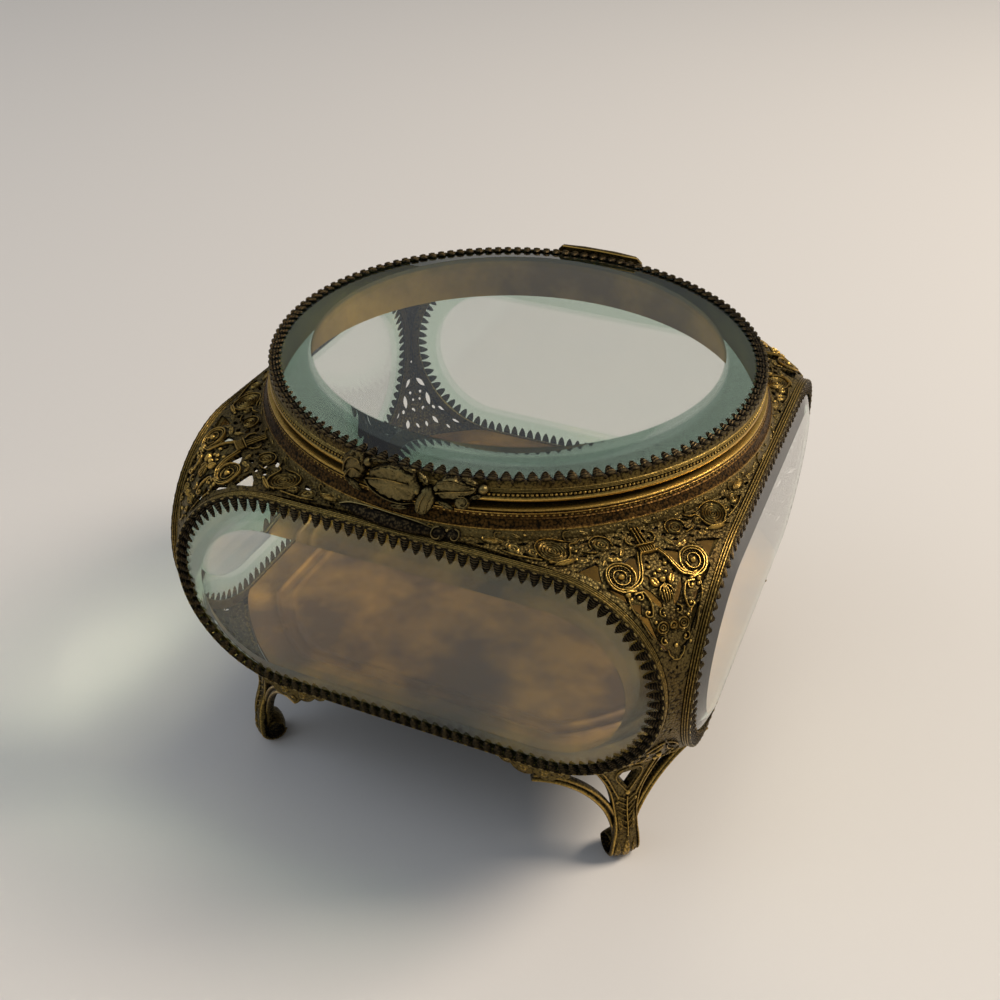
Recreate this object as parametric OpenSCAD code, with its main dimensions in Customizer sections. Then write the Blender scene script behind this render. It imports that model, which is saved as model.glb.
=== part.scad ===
// Glass casket box: a footed jewel casket of pierced brass with four bevelled side glasses
// and a round bevelled glass lid that is hinged at the back. Sizes are in millimetres.
// The front faces -Y, and the origin is on the floor, under the middle of the box.

/* [Body] */
// Width and depth, over the toothed strips of opposite side glasses
body_w = 112; // [96:1:136]
// From the floor to the underside of the side frames
leg_h = 30.5; // [24:0.5:38]
// Height of a side frame, which also sets its round ends
frame_h = 48; // [38:0.5:58]
// From the end of a side frame to the front plane of its neighbour
corner_gap = 4.2; // [4:0.1:8]

/* [Side frames] */
// Wall of the brass channel round a side glass
wall = 0.8; // [0.5:0.05:1.2]
// How far the channel's rim stands behind the tips of the teeth
rim_back = 0.3; // [0.1:0.05:1]
// Spacing of the fine reeds round the outside of a channel
reed_pitch = 0.4; // [0.3:0.05:0.5]
// Thickness and reach of the lip behind a side glass
lip_t = 0.5; // [0.3:0.05:0.8]
lip_w = 1.2; // [0.6:0.1:2]

/* [Side glasses] */
// Thickness of a side glass in the middle
glass_t = 4.2; // [3:0.1:5.5]
// How far the flat of the glass stands out past the teeth
glass_proud = 0.8; // [0.2:0.1:1.5]
// Width and drop of the bevel
bevel_w = 6.1; // [4:0.1:9]
bevel_drop = 2.0; // [1:0.1:2.6]
// Gap between a glass and the brass round it
glass_clear = 0.1; // [0.05:0.01:0.3]

/* [Gallery teeth] */
// Length of a tooth along the glass, from the channel wall to its tip
tooth_len = 3.1; // [2:0.1:4.5]
// Thickness of the toothed strip
tooth_t = 0.45; // [0.3:0.05:0.7]
// Spacing of the teeth
tooth_pitch = 2.3; // [1.6:0.05:3.5]

/* [Corners] */
// Thickness of the pierced corner plates
corner_t = 1.0; // [0.7:0.05:1.6]
// How far behind the teeth plane a corner plate meets the frames
corner_back = 2.0; // [1.6:0.1:3]
// Size of the pierced holes, against the pattern's own size
pierce = 1; // [0.7:0.05:1.15]

/* [Feet] */
// Width of a foot's stem, and of its toe
stem_w = 5.5; // [4:0.1:7]
toe_w = 6.9; // [5.5:0.1:9]
// How far the toe swells out past the top of the stem
toe_swell = 2.2; // [1:0.1:3]
// Thickness of the stem
stem_t = 1.9; // [1.4:0.1:2.6]
// Width and depth of the curved struts
strut_w = 1.8; // [1.2:0.1:2.6]
strut_t = 2.2; // [1.6:0.1:3]

/* [Collar] */
// Inner radius of the smooth liner, which is the mouth of the box
mouth_r = 49.4; // [38:0.2:52]
// Wall and height of the liner above the side frames
liner_t = 0.8; // [0.5:0.05:1.2]
liner_h = 9.8; // [7:0.1:14]
// Height of the collar's rim above the side frames
collar_h = 6.5; // [5:0.1:9]
// Width of the collar's flared skirt
skirt_w = 2.0; // [1:0.1:3]

/* [Lid] */
// Gap between the collar's rim and the lid's band
lid_gap = 1.2; // [0.8:0.1:2]
// Radial gap between the lid's band and the liner
lid_clear = 0.3; // [0.2:0.05:0.8]
// Wall of the lid's band
band_t = 1.2; // [0.8:0.05:1.8]
// Thickness of the lid glass in the middle
lid_glass_t = 3.2; // [2.4:0.1:5]
// Width and drop of the lid glass's bevel
lid_bevel_w = 8.0; // [5:0.1:12]
lid_bevel_drop = 1.95; // [1:0.05:2.1]

/* [Hinge and clasp] */
// Width of the hinge leaves
leaf_w = 21; // [14:0.5:30]
// Thickness of the hinge leaves
leaf_t = 0.8; // [0.6:0.05:1.2]
// Radius of the hinge pin
pin_r = 0.65; // [0.5:0.05:0.9]
// Running clearance of the pin in the lid's knuckles
pin_clear = 0.05; // [0.02:0.01:0.1]
// Wall of a knuckle round the pin
knuckle_wall = 0.65; // [0.5:0.05:1]
// Width of the thumb lift
lift_w = 30; // [22:1:38]

/* [Hidden] */
$fn = 96;

// Colours
BRASS = [0.52, 0.43, 0.24];
DARK_BRASS = [0.36, 0.31, 0.19];
BRIGHT_BRASS = [0.70, 0.58, 0.32];
GLASS = [0.62, 0.74, 0.71, 0.45];

// Side panels, measured outwards from the middle of the box
tooth_plane = body_w / 2;
glass_face = tooth_plane + glass_proud;
glass_back = glass_face - glass_t;
frame_back_plane = glass_back - lip_t;
rim_plane = tooth_plane - rim_back;
frame_r = frame_h / 2;
frame_mid_z = leg_h + frame_r;
frame_top = leg_h + frame_h;
frame_straight = tooth_plane - corner_gap - frame_r;
glass_inset = wall + glass_clear;
bevel_slope = bevel_drop / bevel_w;
bevel_edge = glass_face - bevel_drop;
reed_count = 4;
reed_depth = 0.14;

// Corner plates
corner_plane = tooth_plane - corner_back;
profile_steps = 9;
corner_half_angle = 38;

// Collar and liner
liner_r = mouth_r + liner_t;
collar_rim = frame_top + collar_h;
collar_wall = 0.9;
collar_top_r = liner_r + 1.6;
skirt_top = collar_rim - 1.8;
skirt_foot = frame_top + 1.3;
skirt_r = collar_top_r + skirt_w + 0.4;
// A flat shoulder carries the collar out to the frames where the skirt alone doesn't reach
shoulder_r = max(skirt_r, corner_plane + 0.2);
shoulder_t = 0.7;
liner_foot = frame_top - 1.5;
liner_top = frame_top + liner_h;

// Lid
seat_gap = 0.1;
lid_foot = collar_rim + lid_gap;
band_in_r = liner_r + lid_clear;
band_r = band_in_r + band_t;
lid_seat = liner_top + seat_gap;
seat_t = 0.5;
lid_glass_z = lid_seat + seat_t;
lid_rim_wall = 0.7;
lid_glass_r = band_r - lid_rim_wall - glass_clear;
lid_glass_top = lid_glass_z + lid_glass_t;
lid_bevel_slope = lid_bevel_drop / lid_bevel_w;
lid_edge_z = lid_glass_top - lid_bevel_drop;
lid_rim = lid_edge_z + 0.5;
lid_tooth_len = 2.9;

// Hinge
hinge_y = band_r + leaf_t + 0.75;
hinge_z = collar_rim + 0.5;
bore_r = pin_r + pin_clear;
knuckle_r = bore_r + knuckle_wall;
knuckle_gap = 0.15;
mid_knuckle_w = 6;
end_knuckle_w = 6;
hinge_half = mid_knuckle_w / 2 + knuckle_gap + end_knuckle_w;
leaf_top = lid_glass_top - 0.1;

// Bottom plate
plate_t = 0.8;
plate_z = leg_h + wall + 0.1;
plate_clear = 0.05;

// Places the children on each side of the box, with the panel's outward direction along -Y
module on_side(side) {
    turn = side == "front" ? 0 : side == "right" ? 90 : side == "back" ? 180 : 270;
    rotate([0, 0, turn]) children();
}

// Places the children, made on the +X axis, on a diagonal of the box
module on_corner(corner) {
    turn = corner == "back_right" ? 45 : corner == "back_left" ? 135
        : corner == "front_left" ? 225 : 315;
    rotate([0, 0, turn]) children();
}

// Outline with straight top and bottom and round ends, of radius r
module round_end_outline(r) {
    square([2 * frame_straight, 2 * r], center = true);
    for (side = [-1, 1])
        translate([side * frame_straight, 0]) circle(r);
}

// A flat panel shape, cut from near to far along the panel's outward direction
module panel_slab(r, near, far) {
    translate([0, -near, frame_mid_z])
        rotate([90, 0, 0])
            linear_extrude(far - near)
                children();
}

// Sweeps a section, drawn as [distance from the outline's centre line, outward distance],
// round the outline of a side panel
module panel_sweep(section) {
    translate([0, 0, frame_mid_z])
        rotate([90, 0, 0]) {
            translate([frame_straight, 0, 0])
                rotate([0, 0, -90])
                    rotate_extrude(angle = 180) polygon(section);
            translate([-frame_straight, 0, 0])
                rotate([0, 0, 90])
                    rotate_extrude(angle = 180) polygon(section);
            for (flip = [0, 180])
                rotate([0, 0, flip])
                    translate([-frame_straight, 0, 0])
                        rotate([90, 0, 90])
                            linear_extrude(2 * frame_straight) polygon(section);
        }
}

// Height of the bevel's plane at a radius of the panel's outline
function bevel_at(r) = bevel_edge + bevel_slope * (frame_r - glass_inset - r);

// Side channels
module side_frame() {
    color(BRASS)
        panel_sweep([
            [frame_r, frame_back_plane],
            for (i = [reed_count - 1 : -1 : 0])
                for (step = [[-0.14, 0], [0, reed_depth], [0.14, 0]])
                    [frame_r - step[1], rim_plane - 0.5 - i * reed_pitch + step[0]],
            [frame_r, rim_plane - 0.25],
            [frame_r - 0.25, rim_plane],
            [frame_r - wall, rim_plane],
            [frame_r - wall, glass_back],
            [frame_r - wall - lip_w, glass_back],
            [frame_r - wall - lip_w, frame_back_plane],
        ]);
}

// Point of a round-ended outline of radius r, at a share of the way round
function outline_point(r, share) =
    let (straight = 2 * frame_straight,
         arc = PI * (frame_r - wall),
         run = share * 2 * (straight + arc))
    run < straight ? [-frame_straight + run, r]
    : run < straight + arc ?
        let (a = 90 - (run - straight) / arc * 180)
        [frame_straight + r * cos(a), r * sin(a)]
    : run < 2 * straight + arc ? [frame_straight - (run - straight - arc), -r]
    : let (a = -90 - (run - 2 * straight - arc) / arc * 180)
        [-frame_straight + r * cos(a), r * sin(a)];

// Window inside a toothed strip: valleys at the wall, and tips pointing inwards
function toothed_window(r, reach, count) = [
    for (i = [0 : count - 1])
        for (step = [[0, 0.22], [0.2, 0.75], [0.5, 1], [0.8, 0.75]])
            outline_point(r - reach * step[1], (i + step[0]) / count)
];

module side_gallery() {
    root_r = frame_r - wall - 0.02;
    tip_r = root_r - tooth_len;
    lift = 0.03;
    run = 4 * frame_straight + 2 * PI * (frame_r - wall);
    color(DARK_BRASS)
        intersection() {
            panel_sweep([
                [root_r, bevel_at(root_r) + lift],
                [root_r, bevel_at(root_r) + tooth_t + lift],
                [tip_r - 1, bevel_at(tip_r - 1) + tooth_t + lift],
                [tip_r - 1, bevel_at(tip_r - 1) + lift],
            ]);
            panel_slab(root_r, frame_back_plane, glass_face + 2)
                difference() {
                    round_end_outline(root_r + 1);
                    polygon(toothed_window(root_r, tooth_len, round(run / tooth_pitch)));
                }
        }
}

// Side glasses: a half section turned round each end and drawn along the middle
module side_glass() {
    edge_r = frame_r - glass_inset;
    flat_r = edge_r - bevel_w;
    half = [
        [0, glass_back],
        [edge_r, glass_back],
        [edge_r, bevel_edge],
        [flat_r, glass_face],
        [0, glass_face],
    ];
    color(GLASS) panel_sweep(half);
}

// Corner plates. Their outer face is a surface of revolution that meets every frame's
// outline in the corner plane, and then rises to the collar.
function corner_profile_point(a) =
    [norm([corner_plane, frame_straight + frame_r * cos(a)]), frame_mid_z + frame_r * sin(a)];

corner_outer = [
    for (i = [-profile_steps : profile_steps]) corner_profile_point(86 * i / profile_steps),
];
corner_flange = [[shoulder_r - 0.3, skirt_foot]];

// The same profile moved inwards by the plate's thickness
function inward(points, i, t) =
    let (before = points[max(i - 1, 0)],
         after = points[min(i + 1, len(points) - 1)],
         run = after - before)
    points[i] + t / norm(run) * [-run[1], run[0]];

module corner_shell() {
    outer = concat(corner_outer, corner_flange);
    inner = [for (i = [len(outer) - 1 : -1 : 0]) inward(outer, i, corner_t)];
    rotate([0, 0, -corner_half_angle])
        rotate_extrude(angle = 2 * corner_half_angle) polygon(concat(outer, inner));
}

// Solid body inside the corner plates' outer face, used to fit what stands against them
module corner_envelope() {
    rotate([0, 0, -corner_half_angle - 0.2])
        rotate_extrude(angle = 2 * corner_half_angle + 0.4)
            polygon(concat([[0, corner_outer[0][1]]], corner_outer, corner_flange,
                           [[0, corner_flange[0][1]]]));
}

// The outer face can be read as a flat sheet: across from the diagonal, and up along the
// curve from the waist. These give the place on the profile at a run up the sheet.
sheet_runs = [
    for (i = 0, run = 0; i <= 43;
         run = run + norm(corner_profile_point(2 * i + 2) - corner_profile_point(2 * i)), i = i + 1)
        [run, 2 * i],
];
sheet_end = sheet_runs[43][0];
flange_run = corner_flange[0] - corner_profile_point(86);
function sheet_point(up) =
    abs(up) < sheet_end ? corner_profile_point(sign(up) * lookup(abs(up), sheet_runs))
    : corner_profile_point(86) + (up - sheet_end) / norm(flange_run) * flange_run;

// The pattern is drawn for a panel end of this radius, and grows with the real one
pattern = frame_r / 24;

// Pierces the plate at a place on the sheet. In the shape, +X points down the sheet.
module pierced(across, up) {
    centre_r = 46;
    spot = sheet_point(up * pattern);
    rise = atan2(spot[1] - frame_mid_z, spot[0] - centre_r);
    rotate([0, 0, across * pattern / spot[0] * 180 / PI])
        translate([centre_r, 0, frame_mid_z])
            rotate([0, 90 - rise, 0])
                translate([0, 0, 6])
                    linear_extrude(30)
                        scale(pattern * pierce) children();
}

// Pointed leaf, length by width, made of two arcs
module leaf(length, width) {
    r = (length * length + width * width) / (4 * width);
    intersection() {
        translate([0, r - width / 2]) circle(r);
        translate([0, width / 2 - r]) circle(r);
    }
}

// Pierced leaves on both sides of the diagonal, each as across, up, length, width and turn.
// The turn is 0 for a leaf that lies across and 90 for one that points up.
module pierced_leaves(leaves) {
    for (row = leaves)
        for (side = [-1, 1])
            pierced(side * row[0], row[1])
                rotate(side * (row[4] + 90)) leaf(row[2], row[3]);
}

// Openings above the waist: they leave a volute on either side of a palmette
module upper_piercing() {
    // Three-cornered openings between the volutes and the frames
    for (side = [-1, 1])
        pierced(side * 10.7, 28.1)
            scale([1, side])
                difference() {
                    polygon([[-1.2, 2.1], [-1.3, -1.6], [2.1, -0.7]]);
                    translate([1.6, -3.6]) circle(2.7);
                }
    pierced_leaves([
        // Crescents between the volutes and the tied bar, and slots beside the palmette
        [4.0, 28.1, 5.0, 1.35, 112], [2.6, 22.1, 4.2, 1.15, 57],
        // Slots along the frames
        [8.1, 23.0, 2.3, 0.9, 52], [5.7, 20.2, 1.8, 0.95, 75], [4.3, 16.7, 4.0, 0.95, 63],
        [1.9, 12.7, 2.6, 0.9, 45],
        // Small leaves round the bud
        [1.4, 28.4, 1.1, 0.8, 90], [2.6, 25.5, 1.3, 0.8, 60],
        // Leaves of the outer scrolls, under the collar
        [1.5, 34.6, 1.6, 0.8, 60], [4.3, 33.9, 2.6, 0.9, 40], [6.2, 31.4, 1.4, 1.0, 20],
        [9.3, 33.3, 2.0, 0.9, 150], [11.3, 31.8, 1.7, 0.9, 165], [14.0, 32.7, 1.4, 0.9, 100],
        [20.9, 35.2, 2.2, 0.8, 170],
    ]);
}

// Openings below the waist: four long petals round a small flower
module lower_piercing() {
    pierced_leaves([
        [1.95, -12.4, 3.5, 1.2, 131], [3.3, -17.3, 3.9, 1.2, 94], [1.45, -15.0, 0.9, 0.75, 90],
        [0.95, -17.0, 0.8, 0.7, 90], [1.4, -19.8, 1.4, 0.85, 60], [4.4, -19.9, 1.3, 0.8, 120],
        [6.5, -20.6, 2.2, 0.9, 140], [4.0, -23.6, 2.8, 1.1, 110], [9.6, -24.8, 2.6, 1.0, 140],
    ]);
    pierced(0, -24.4) leaf(3, 1.2);
}

module corner_plate() {
    edge = corner_plane + 0.3;
    color(BRASS)
        difference() {
            intersection() {
                corner_shell();
                rotate([0, 0, 45])
                    translate([-edge, -edge, 0]) cube([2 * edge, 2 * edge, 2 * frame_top]);
            }
            for (turn = [45, 135])
                rotate([0, 0, turn])
                    panel_slab(frame_r, frame_back_plane - 3, tooth_plane + 30)
                        round_end_outline(frame_r);
            translate([0, 0, frame_top - 2]) cylinder(r = shoulder_r, h = 5);
            upper_piercing();
            lower_piercing();
        }
}

// Feet. A hollow-backed stem swells into a scroll toe, and forks up to the corner plate. A
// curved strut springs from the stem to a leaf under the frame on either side.
stem_face = corner_profile_point(-86)[0];
toe_r = 3.6;
toe_mid = stem_face + toe_swell - toe_r;
toe_flat = 1.5;
crotch_z = leg_h - 10.3;

// Side view of a foot: distance from the box's axis, and height
foot_side = [
    [stem_face + 2.4, leg_h + 1.2],
    [stem_face + 0.9, leg_h - 0.4],
    [stem_face + 0.2, leg_h * 0.9],
    [stem_face, leg_h * 0.75],
    [stem_face + 0.1, leg_h * 0.58],
    [stem_face + 0.45, leg_h * 0.46],
    [stem_face + 0.72 * toe_swell, leg_h * 0.35],
    [stem_face + 0.97 * toe_swell, 2 * toe_r],
    for (a = [5 : -15 : -55]) [toe_mid, toe_r] + toe_r * [cos(a), sin(a)],
    [toe_mid + toe_flat, 0],
    [toe_mid - toe_flat, 0],
    for (a = [-125 : -15 : -245]) [toe_mid, toe_r] + toe_r * [cos(a), sin(a)],
    [stem_face + 0.3 - stem_t, leg_h * 0.32],
    [stem_face + 0.25 - stem_t, leg_h * 0.46],
    [stem_face - stem_t, leg_h * 0.58],
    [stem_face - stem_t, leg_h + 1],
];

// Right half of a foot's front view: distance from the middle line, and height
foot_half = [
    [0, 0],
    [toe_w / 2 - 1.2, 0],
    [toe_w / 2 - 0.3, 0.9],
    [toe_w / 2, 2.6],
    [toe_w / 2 - 0.1, 5.2],
    [stem_w / 2 + 0.15, 7.4],
    [stem_w / 2 - 0.05, leg_h * 0.33],
    [stem_w / 2, leg_h * 0.43],
    [stem_w / 2 + 0.4, leg_h * 0.53],
    [stem_w / 2 + 1.2, leg_h * 0.63],
    [stem_w / 2 + 2.7, leg_h * 0.76],
    [stem_w / 2 + 4.9, leg_h * 0.87],
    [stem_w / 2 + 7.7, leg_h * 0.96],
    [stem_w / 2 + 10, leg_h + 1],
    [0, leg_h + 1],
];

module foot_front() {
    difference() {
        for (side = [0, 1]) mirror([side, 0]) polygon(foot_half);
        translate([0, crotch_z])
            polygon([[0, 0], [2.3, 3.7], [1.4, 4.6], [-1.4, 4.6], [-2.3, 3.7]]);
    }
}

module foot_body() {
    difference() {
        intersection() {
            rotate([0, 0, -15]) rotate_extrude(angle = 30) polygon(foot_side);
            translate([stem_face - 8, 0, 0])
                rotate([90, 0, 90]) linear_extrude(14) foot_front();
        }
        // Hollow ends of the scroll
        for (side = [-1, 1])
            translate([toe_mid - 0.6, side * (toe_w / 2 + 1.2), toe_r - 0.2])
                rotate([90, 0, 0]) cylinder(r = 1.7, h = 4.4, center = true);
        corner_envelope();
        for (turn = [45, 135])
            rotate([0, 0, turn])
                panel_slab(frame_r, frame_back_plane - 3, tooth_plane + 3)
                    round_end_outline(frame_r);
    }
}

// Arch of a strut, from the stem at the origin to under the frame, in an upright plane
module strut_arch(run) {
    inner = 23;
    intersection() {
        translate([run + 6.5, leg_h - 27])
            difference() {
                circle(inner + strut_t);
                circle(inner);
            }
        translate([-0.6, leg_h * 0.33]) square([run + 1.4, leg_h * 0.67]);
    }
}

module foot_strut() {
    reach = corner_plane - 0.2;
    start = [stem_face - 0.4, 1.2 - stem_w / 2];
    end = [reach + frame_straight, frame_straight - reach] / sqrt(2);
    run = norm(end - start);
    translate([start[0], start[1], 0])
        rotate([0, 0, atan2(end[1] - start[1], end[0] - start[0])])
            rotate([90, 0, 0])
                linear_extrude(strut_w, center = true) strut_arch(run);
}

// Lobed leaf that backs the end of a strut, flat under the frame
module foot_leaf() {
    translate([frame_straight, -corner_plane + 0.2 + strut_w / 2, leg_h])
        rotate([90, 0, 0])
            linear_extrude(strut_w)
                intersection() {
                    union() {
                        translate([-6.4, 0.4]) circle(2.2);
                        translate([-2.8, -0.2]) circle(3.1);
                        translate([1.8, -0.4]) circle(2.9);
                        translate([5.2, 0.6]) circle(2);
                    }
                    translate([-9, -4]) square([18, 5.5]);
                }
}

module foot() {
    color(BRASS) {
        foot_body();
        for (flip = [0, 1])
            mirror([0, flip, 0])
                difference() {
                    union() {
                        foot_strut();
                        rotate([0, 0, 45]) foot_leaf();
                    }
                    rotate([0, 0, 45])
                        panel_slab(frame_r, frame_back_plane - 6, tooth_plane + 6)
                            round_end_outline(frame_r);
                    corner_envelope();
                }
    }
}

// Collar: a pressed ring that stands on the frames, with a flared skirt and a rolled rim
module collar_ring() {
    color(BRASS)
        rotate_extrude($fn = 180) {
            polygon([
                [shoulder_r, frame_top],
                [shoulder_r, skirt_foot],
                if (shoulder_r > skirt_r + 0.05) [skirt_r, skirt_foot],
                [collar_top_r + 0.2, skirt_top - 0.15],
                [collar_top_r, skirt_top],
                [collar_top_r, collar_rim - 0.75],
                [collar_top_r - 0.15, collar_rim - 0.6],
                [collar_top_r, collar_rim - 0.45],
                [collar_top_r, collar_rim - 0.15],
                [collar_top_r - 0.15, collar_rim],
                [liner_r, collar_rim],
                [liner_r, collar_rim - collar_wall],
                [collar_top_r - collar_wall, collar_rim - collar_wall],
                [collar_top_r - collar_wall, skirt_top - 0.3],
                [skirt_r - collar_wall, skirt_foot - shoulder_t],
                if (shoulder_r > skirt_r + 0.05)
                    [shoulder_r - collar_wall, skirt_foot - shoulder_t],
                [shoulder_r - collar_wall, frame_top],
            ]);
            translate([collar_top_r, skirt_top + 0.6]) circle(0.45);
        }
}

// Solid inside the collar's outer face, used to fit what stands against it
module collar_envelope() {
    rotate_extrude()
        polygon([
            [0, frame_top - 1],
            [shoulder_r, frame_top - 1],
            [shoulder_r, skirt_foot],
            if (shoulder_r > skirt_r + 0.05) [skirt_r, skirt_foot],
            [collar_top_r + 0.2, skirt_top - 0.15],
            [collar_top_r, skirt_top],
            [0, skirt_top],
        ]);
}

module collar_liner() {
    color(BRIGHT_BRASS)
        rotate_extrude()
            polygon([
                [mouth_r, liner_foot],
                [liner_r, liner_foot],
                [liner_r, liner_top],
                [mouth_r, liner_top],
            ]);
}

// Lid
module lid_band() {
    color(BRASS)
        rotate_extrude($fn = 180)
            polygon([
                [band_in_r, lid_foot],
                [band_r, lid_foot],
                [band_r, lid_foot + 0.8],
                [band_r - 0.3, lid_foot + 1],
                [band_r - 0.3, lid_foot + 1.85],
                for (i = [0 : 2])
                    for (step = [[0, 0.2], [0.12, 0], [0.24, 0]])
                        [band_r - step[1], lid_foot + 1.9 + i * 0.36 + step[0]],
                [band_r - 0.2, lid_foot + 2.98],
                [band_r - 0.15, lid_rim - 0.3],
                [band_r - 0.35, lid_rim],
                [band_r - lid_rim_wall, lid_rim],
                [band_r - lid_rim_wall, lid_glass_z],
                [mouth_r - 0.4, lid_glass_z],
                [mouth_r - 0.4, lid_seat],
                [band_in_r, lid_seat],
            ]);
}

function lid_bevel_at(r) = lid_edge_z + lid_bevel_slope * (lid_glass_r - r);

module lid_gallery() {
    root_r = band_r - lid_rim_wall - 0.02;
    tip_r = root_r - lid_tooth_len;
    lift = 0.03;
    count = round(2 * PI * root_r / tooth_pitch);
    color(DARK_BRASS)
        intersection() {
            rotate_extrude($fn = 180)
                polygon([
                    [root_r, lid_bevel_at(root_r) + lift],
                    [root_r, lid_bevel_at(root_r) + tooth_t + lift],
                    [tip_r - 1, lid_bevel_at(tip_r - 1) + tooth_t + lift],
                    [tip_r - 1, lid_bevel_at(tip_r - 1) + lift],
                ]);
            translate([0, 0, lid_seat])
                linear_extrude(10)
                    difference() {
                        circle(root_r + 1);
                        polygon([
                            for (i = [0 : count - 1])
                                for (step = [[0, 0.22], [0.2, 0.75], [0.5, 1], [0.8, 0.75]])
                                    let (a = 360 * (i + step[0]) / count)
                                    (root_r - lid_tooth_len * step[1]) * [cos(a), sin(a)]
                        ]);
                    }
        }
}

module lid_glass() {
    color(GLASS)
        rotate_extrude($fn = 180)
            polygon([
                [0, lid_glass_z],
                [lid_glass_r, lid_glass_z],
                [lid_glass_r, lid_edge_z],
                [lid_glass_r - lid_bevel_w, lid_glass_top],
                [0, lid_glass_top],
            ]);
}

// Hinge
module lid_hinge_leaf() {
    web_low = hinge_z - 0.2;
    knuckle_mid = hinge_half - end_knuckle_w / 2;
    color(BRASS)
        difference() {
            union() {
                translate([-leaf_w / 2, band_r - 1.6, lid_foot])
                    cube([leaf_w, leaf_t + 1.6, leaf_top - lid_foot]);
                for (side = [-1, 1])
                    translate([side * knuckle_mid, 0, 0]) {
                        translate([-end_knuckle_w / 2, band_r, web_low])
                            cube([end_knuckle_w, leaf_t + 0.6, lid_foot + 0.5 - web_low]);
                        translate([0, hinge_y, hinge_z])
                            rotate([0, 90, 0])
                                cylinder(r = knuckle_r, h = end_knuckle_w, center = true);
                    }
            }
            translate([0, 0, lid_foot - 1]) cylinder(r = band_r, h = 20, $fn = 180);
            translate([0, hinge_y, hinge_z])
                rotate([0, 90, 0]) {
                    cylinder(r = bore_r, h = leaf_w, center = true);
                    cylinder(r = knuckle_r + knuckle_gap, h = mid_knuckle_w + 2 * knuckle_gap,
                             center = true);
                }
        }
}

module body_hinge_leaf() {
    plate_y = hinge_y + knuckle_r - leaf_t;
    plate_top = hinge_z - knuckle_r - 0.3;
    color(BRASS)
        difference() {
            union() {
                translate([-leaf_w / 2, plate_y, frame_top])
                    cube([leaf_w, leaf_t, plate_top - frame_top]);
                translate([-mid_knuckle_w / 2, plate_y, plate_top - 0.5])
                    cube([mid_knuckle_w, leaf_t, hinge_z - plate_top + 0.5]);
                translate([0, hinge_y, hinge_z])
                    rotate([0, 90, 0]) cylinder(r = knuckle_r, h = mid_knuckle_w, center = true);
            }
            translate([0, hinge_y, hinge_z])
                rotate([0, 90, 0]) cylinder(r = pin_r, h = leaf_w, center = true);
            collar_envelope();
            for (corner = ["back_left", "back_right"])
                on_corner(corner) corner_envelope();
        }
}

module hinge_pin() {
    color(BRIGHT_BRASS)
        translate([0, hinge_y, hinge_z])
            rotate([0, 90, 0])
                cylinder(r = pin_r, h = 2 * hinge_half + 1, center = true);
}

// Thumb lift: from left to right a curled bud, a broad leaf, a knot and a leaf with a ball,
// drawn for a lift 30 mm wide and cut out of a curved plate on the front of the band
module lift_outline() {
    scale(lift_w / 30) {
        translate([-10.6, 1.2]) circle(3.3);
        translate([-12.2, -0.6]) circle(1.9);
        translate([-3, 0.3]) rotate(-4) leaf(14, 7.2);
        translate([4, -2.2]) circle(2.3);
        translate([5, 0.8]) circle(2.5);
        translate([9.6, 1.5]) rotate(5) leaf(10, 5);
        translate([10.6, -0.9]) circle(1.5);
        translate([14.2, 1.9]) circle(1.25);
    }
}

module clasp_lift() {
    lift_t = 1.6;
    mid_z = (lid_foot + lid_rim) / 2 - 1.2;
    color(BRASS)
        intersection() {
            rotate_extrude()
                polygon([
                    [band_r, lid_foot + 0.02],
                    [collar_top_r + 0.9, lid_foot - 0.3],
                    [collar_top_r + 1.4, skirt_top - 1],
                    [collar_top_r + 2.8, skirt_top - 1],
                    [band_r + lift_t, lid_rim + 0.4],
                    [band_r, lid_rim + 0.4],
                ]);
            translate([0, 0, mid_z])
                rotate([90, 0, 0])
                    linear_extrude(band_r + 10) lift_outline();
        }
}

// Catch under the lift: a long smooth tab that ends in two small scrolls on the right
module catch_outline() {
    scale(lift_w / 30) {
        translate([-3.5, 0]) rotate(-2) leaf(21, 4.6);
        translate([6.6, -0.3]) circle(1.9);
        translate([9.9, -0.1]) circle(1.6);
    }
}

module catch_plate() {
    plate_top = skirt_top - 1.6;
    mid_z = (skirt_foot + plate_top) / 2 - 0.6;
    color(DARK_BRASS)
        difference() {
            intersection() {
                rotate_extrude()
                    polygon([
                        [skirt_r - 1.5, frame_top],
                        [skirt_r + 1.1, frame_top],
                        [skirt_r + 1.1, skirt_foot],
                        [collar_top_r + 1.0, plate_top],
                        [skirt_r - 1.5, plate_top],
                    ]);
                translate([0, 0, mid_z])
                    rotate([90, 0, 0])
                        linear_extrude(skirt_r + 10) catch_outline();
            }
            collar_envelope();
            for (corner = ["front_left", "front_right"])
                on_corner(corner) corner_envelope();
        }
}

// Bottom plate: pressed sheet with a raised bead that follows the rounded square
module rounded_square(half, r) {
    intersection() {
        square(2 * half, center = true);
        circle(r);
    }
}

module bottom_plate() {
    half = frame_back_plane;
    corner_r = inward(corner_outer, 0, corner_t)[0] - plate_clear;
    color(BRIGHT_BRASS) {
        translate([0, 0, plate_z])
            linear_extrude(plate_t) rounded_square(half, corner_r);
        for (step = [[6, 0.7], [9, 0.5]])
            translate([0, 0, plate_z + plate_t])
                linear_extrude(step[1])
                    difference() {
                        rounded_square(half - step[0], corner_r - step[0]);
                        rounded_square(half - step[0] - 1.2, corner_r - step[0] - 1.2);
                    }
    }
}

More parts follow.
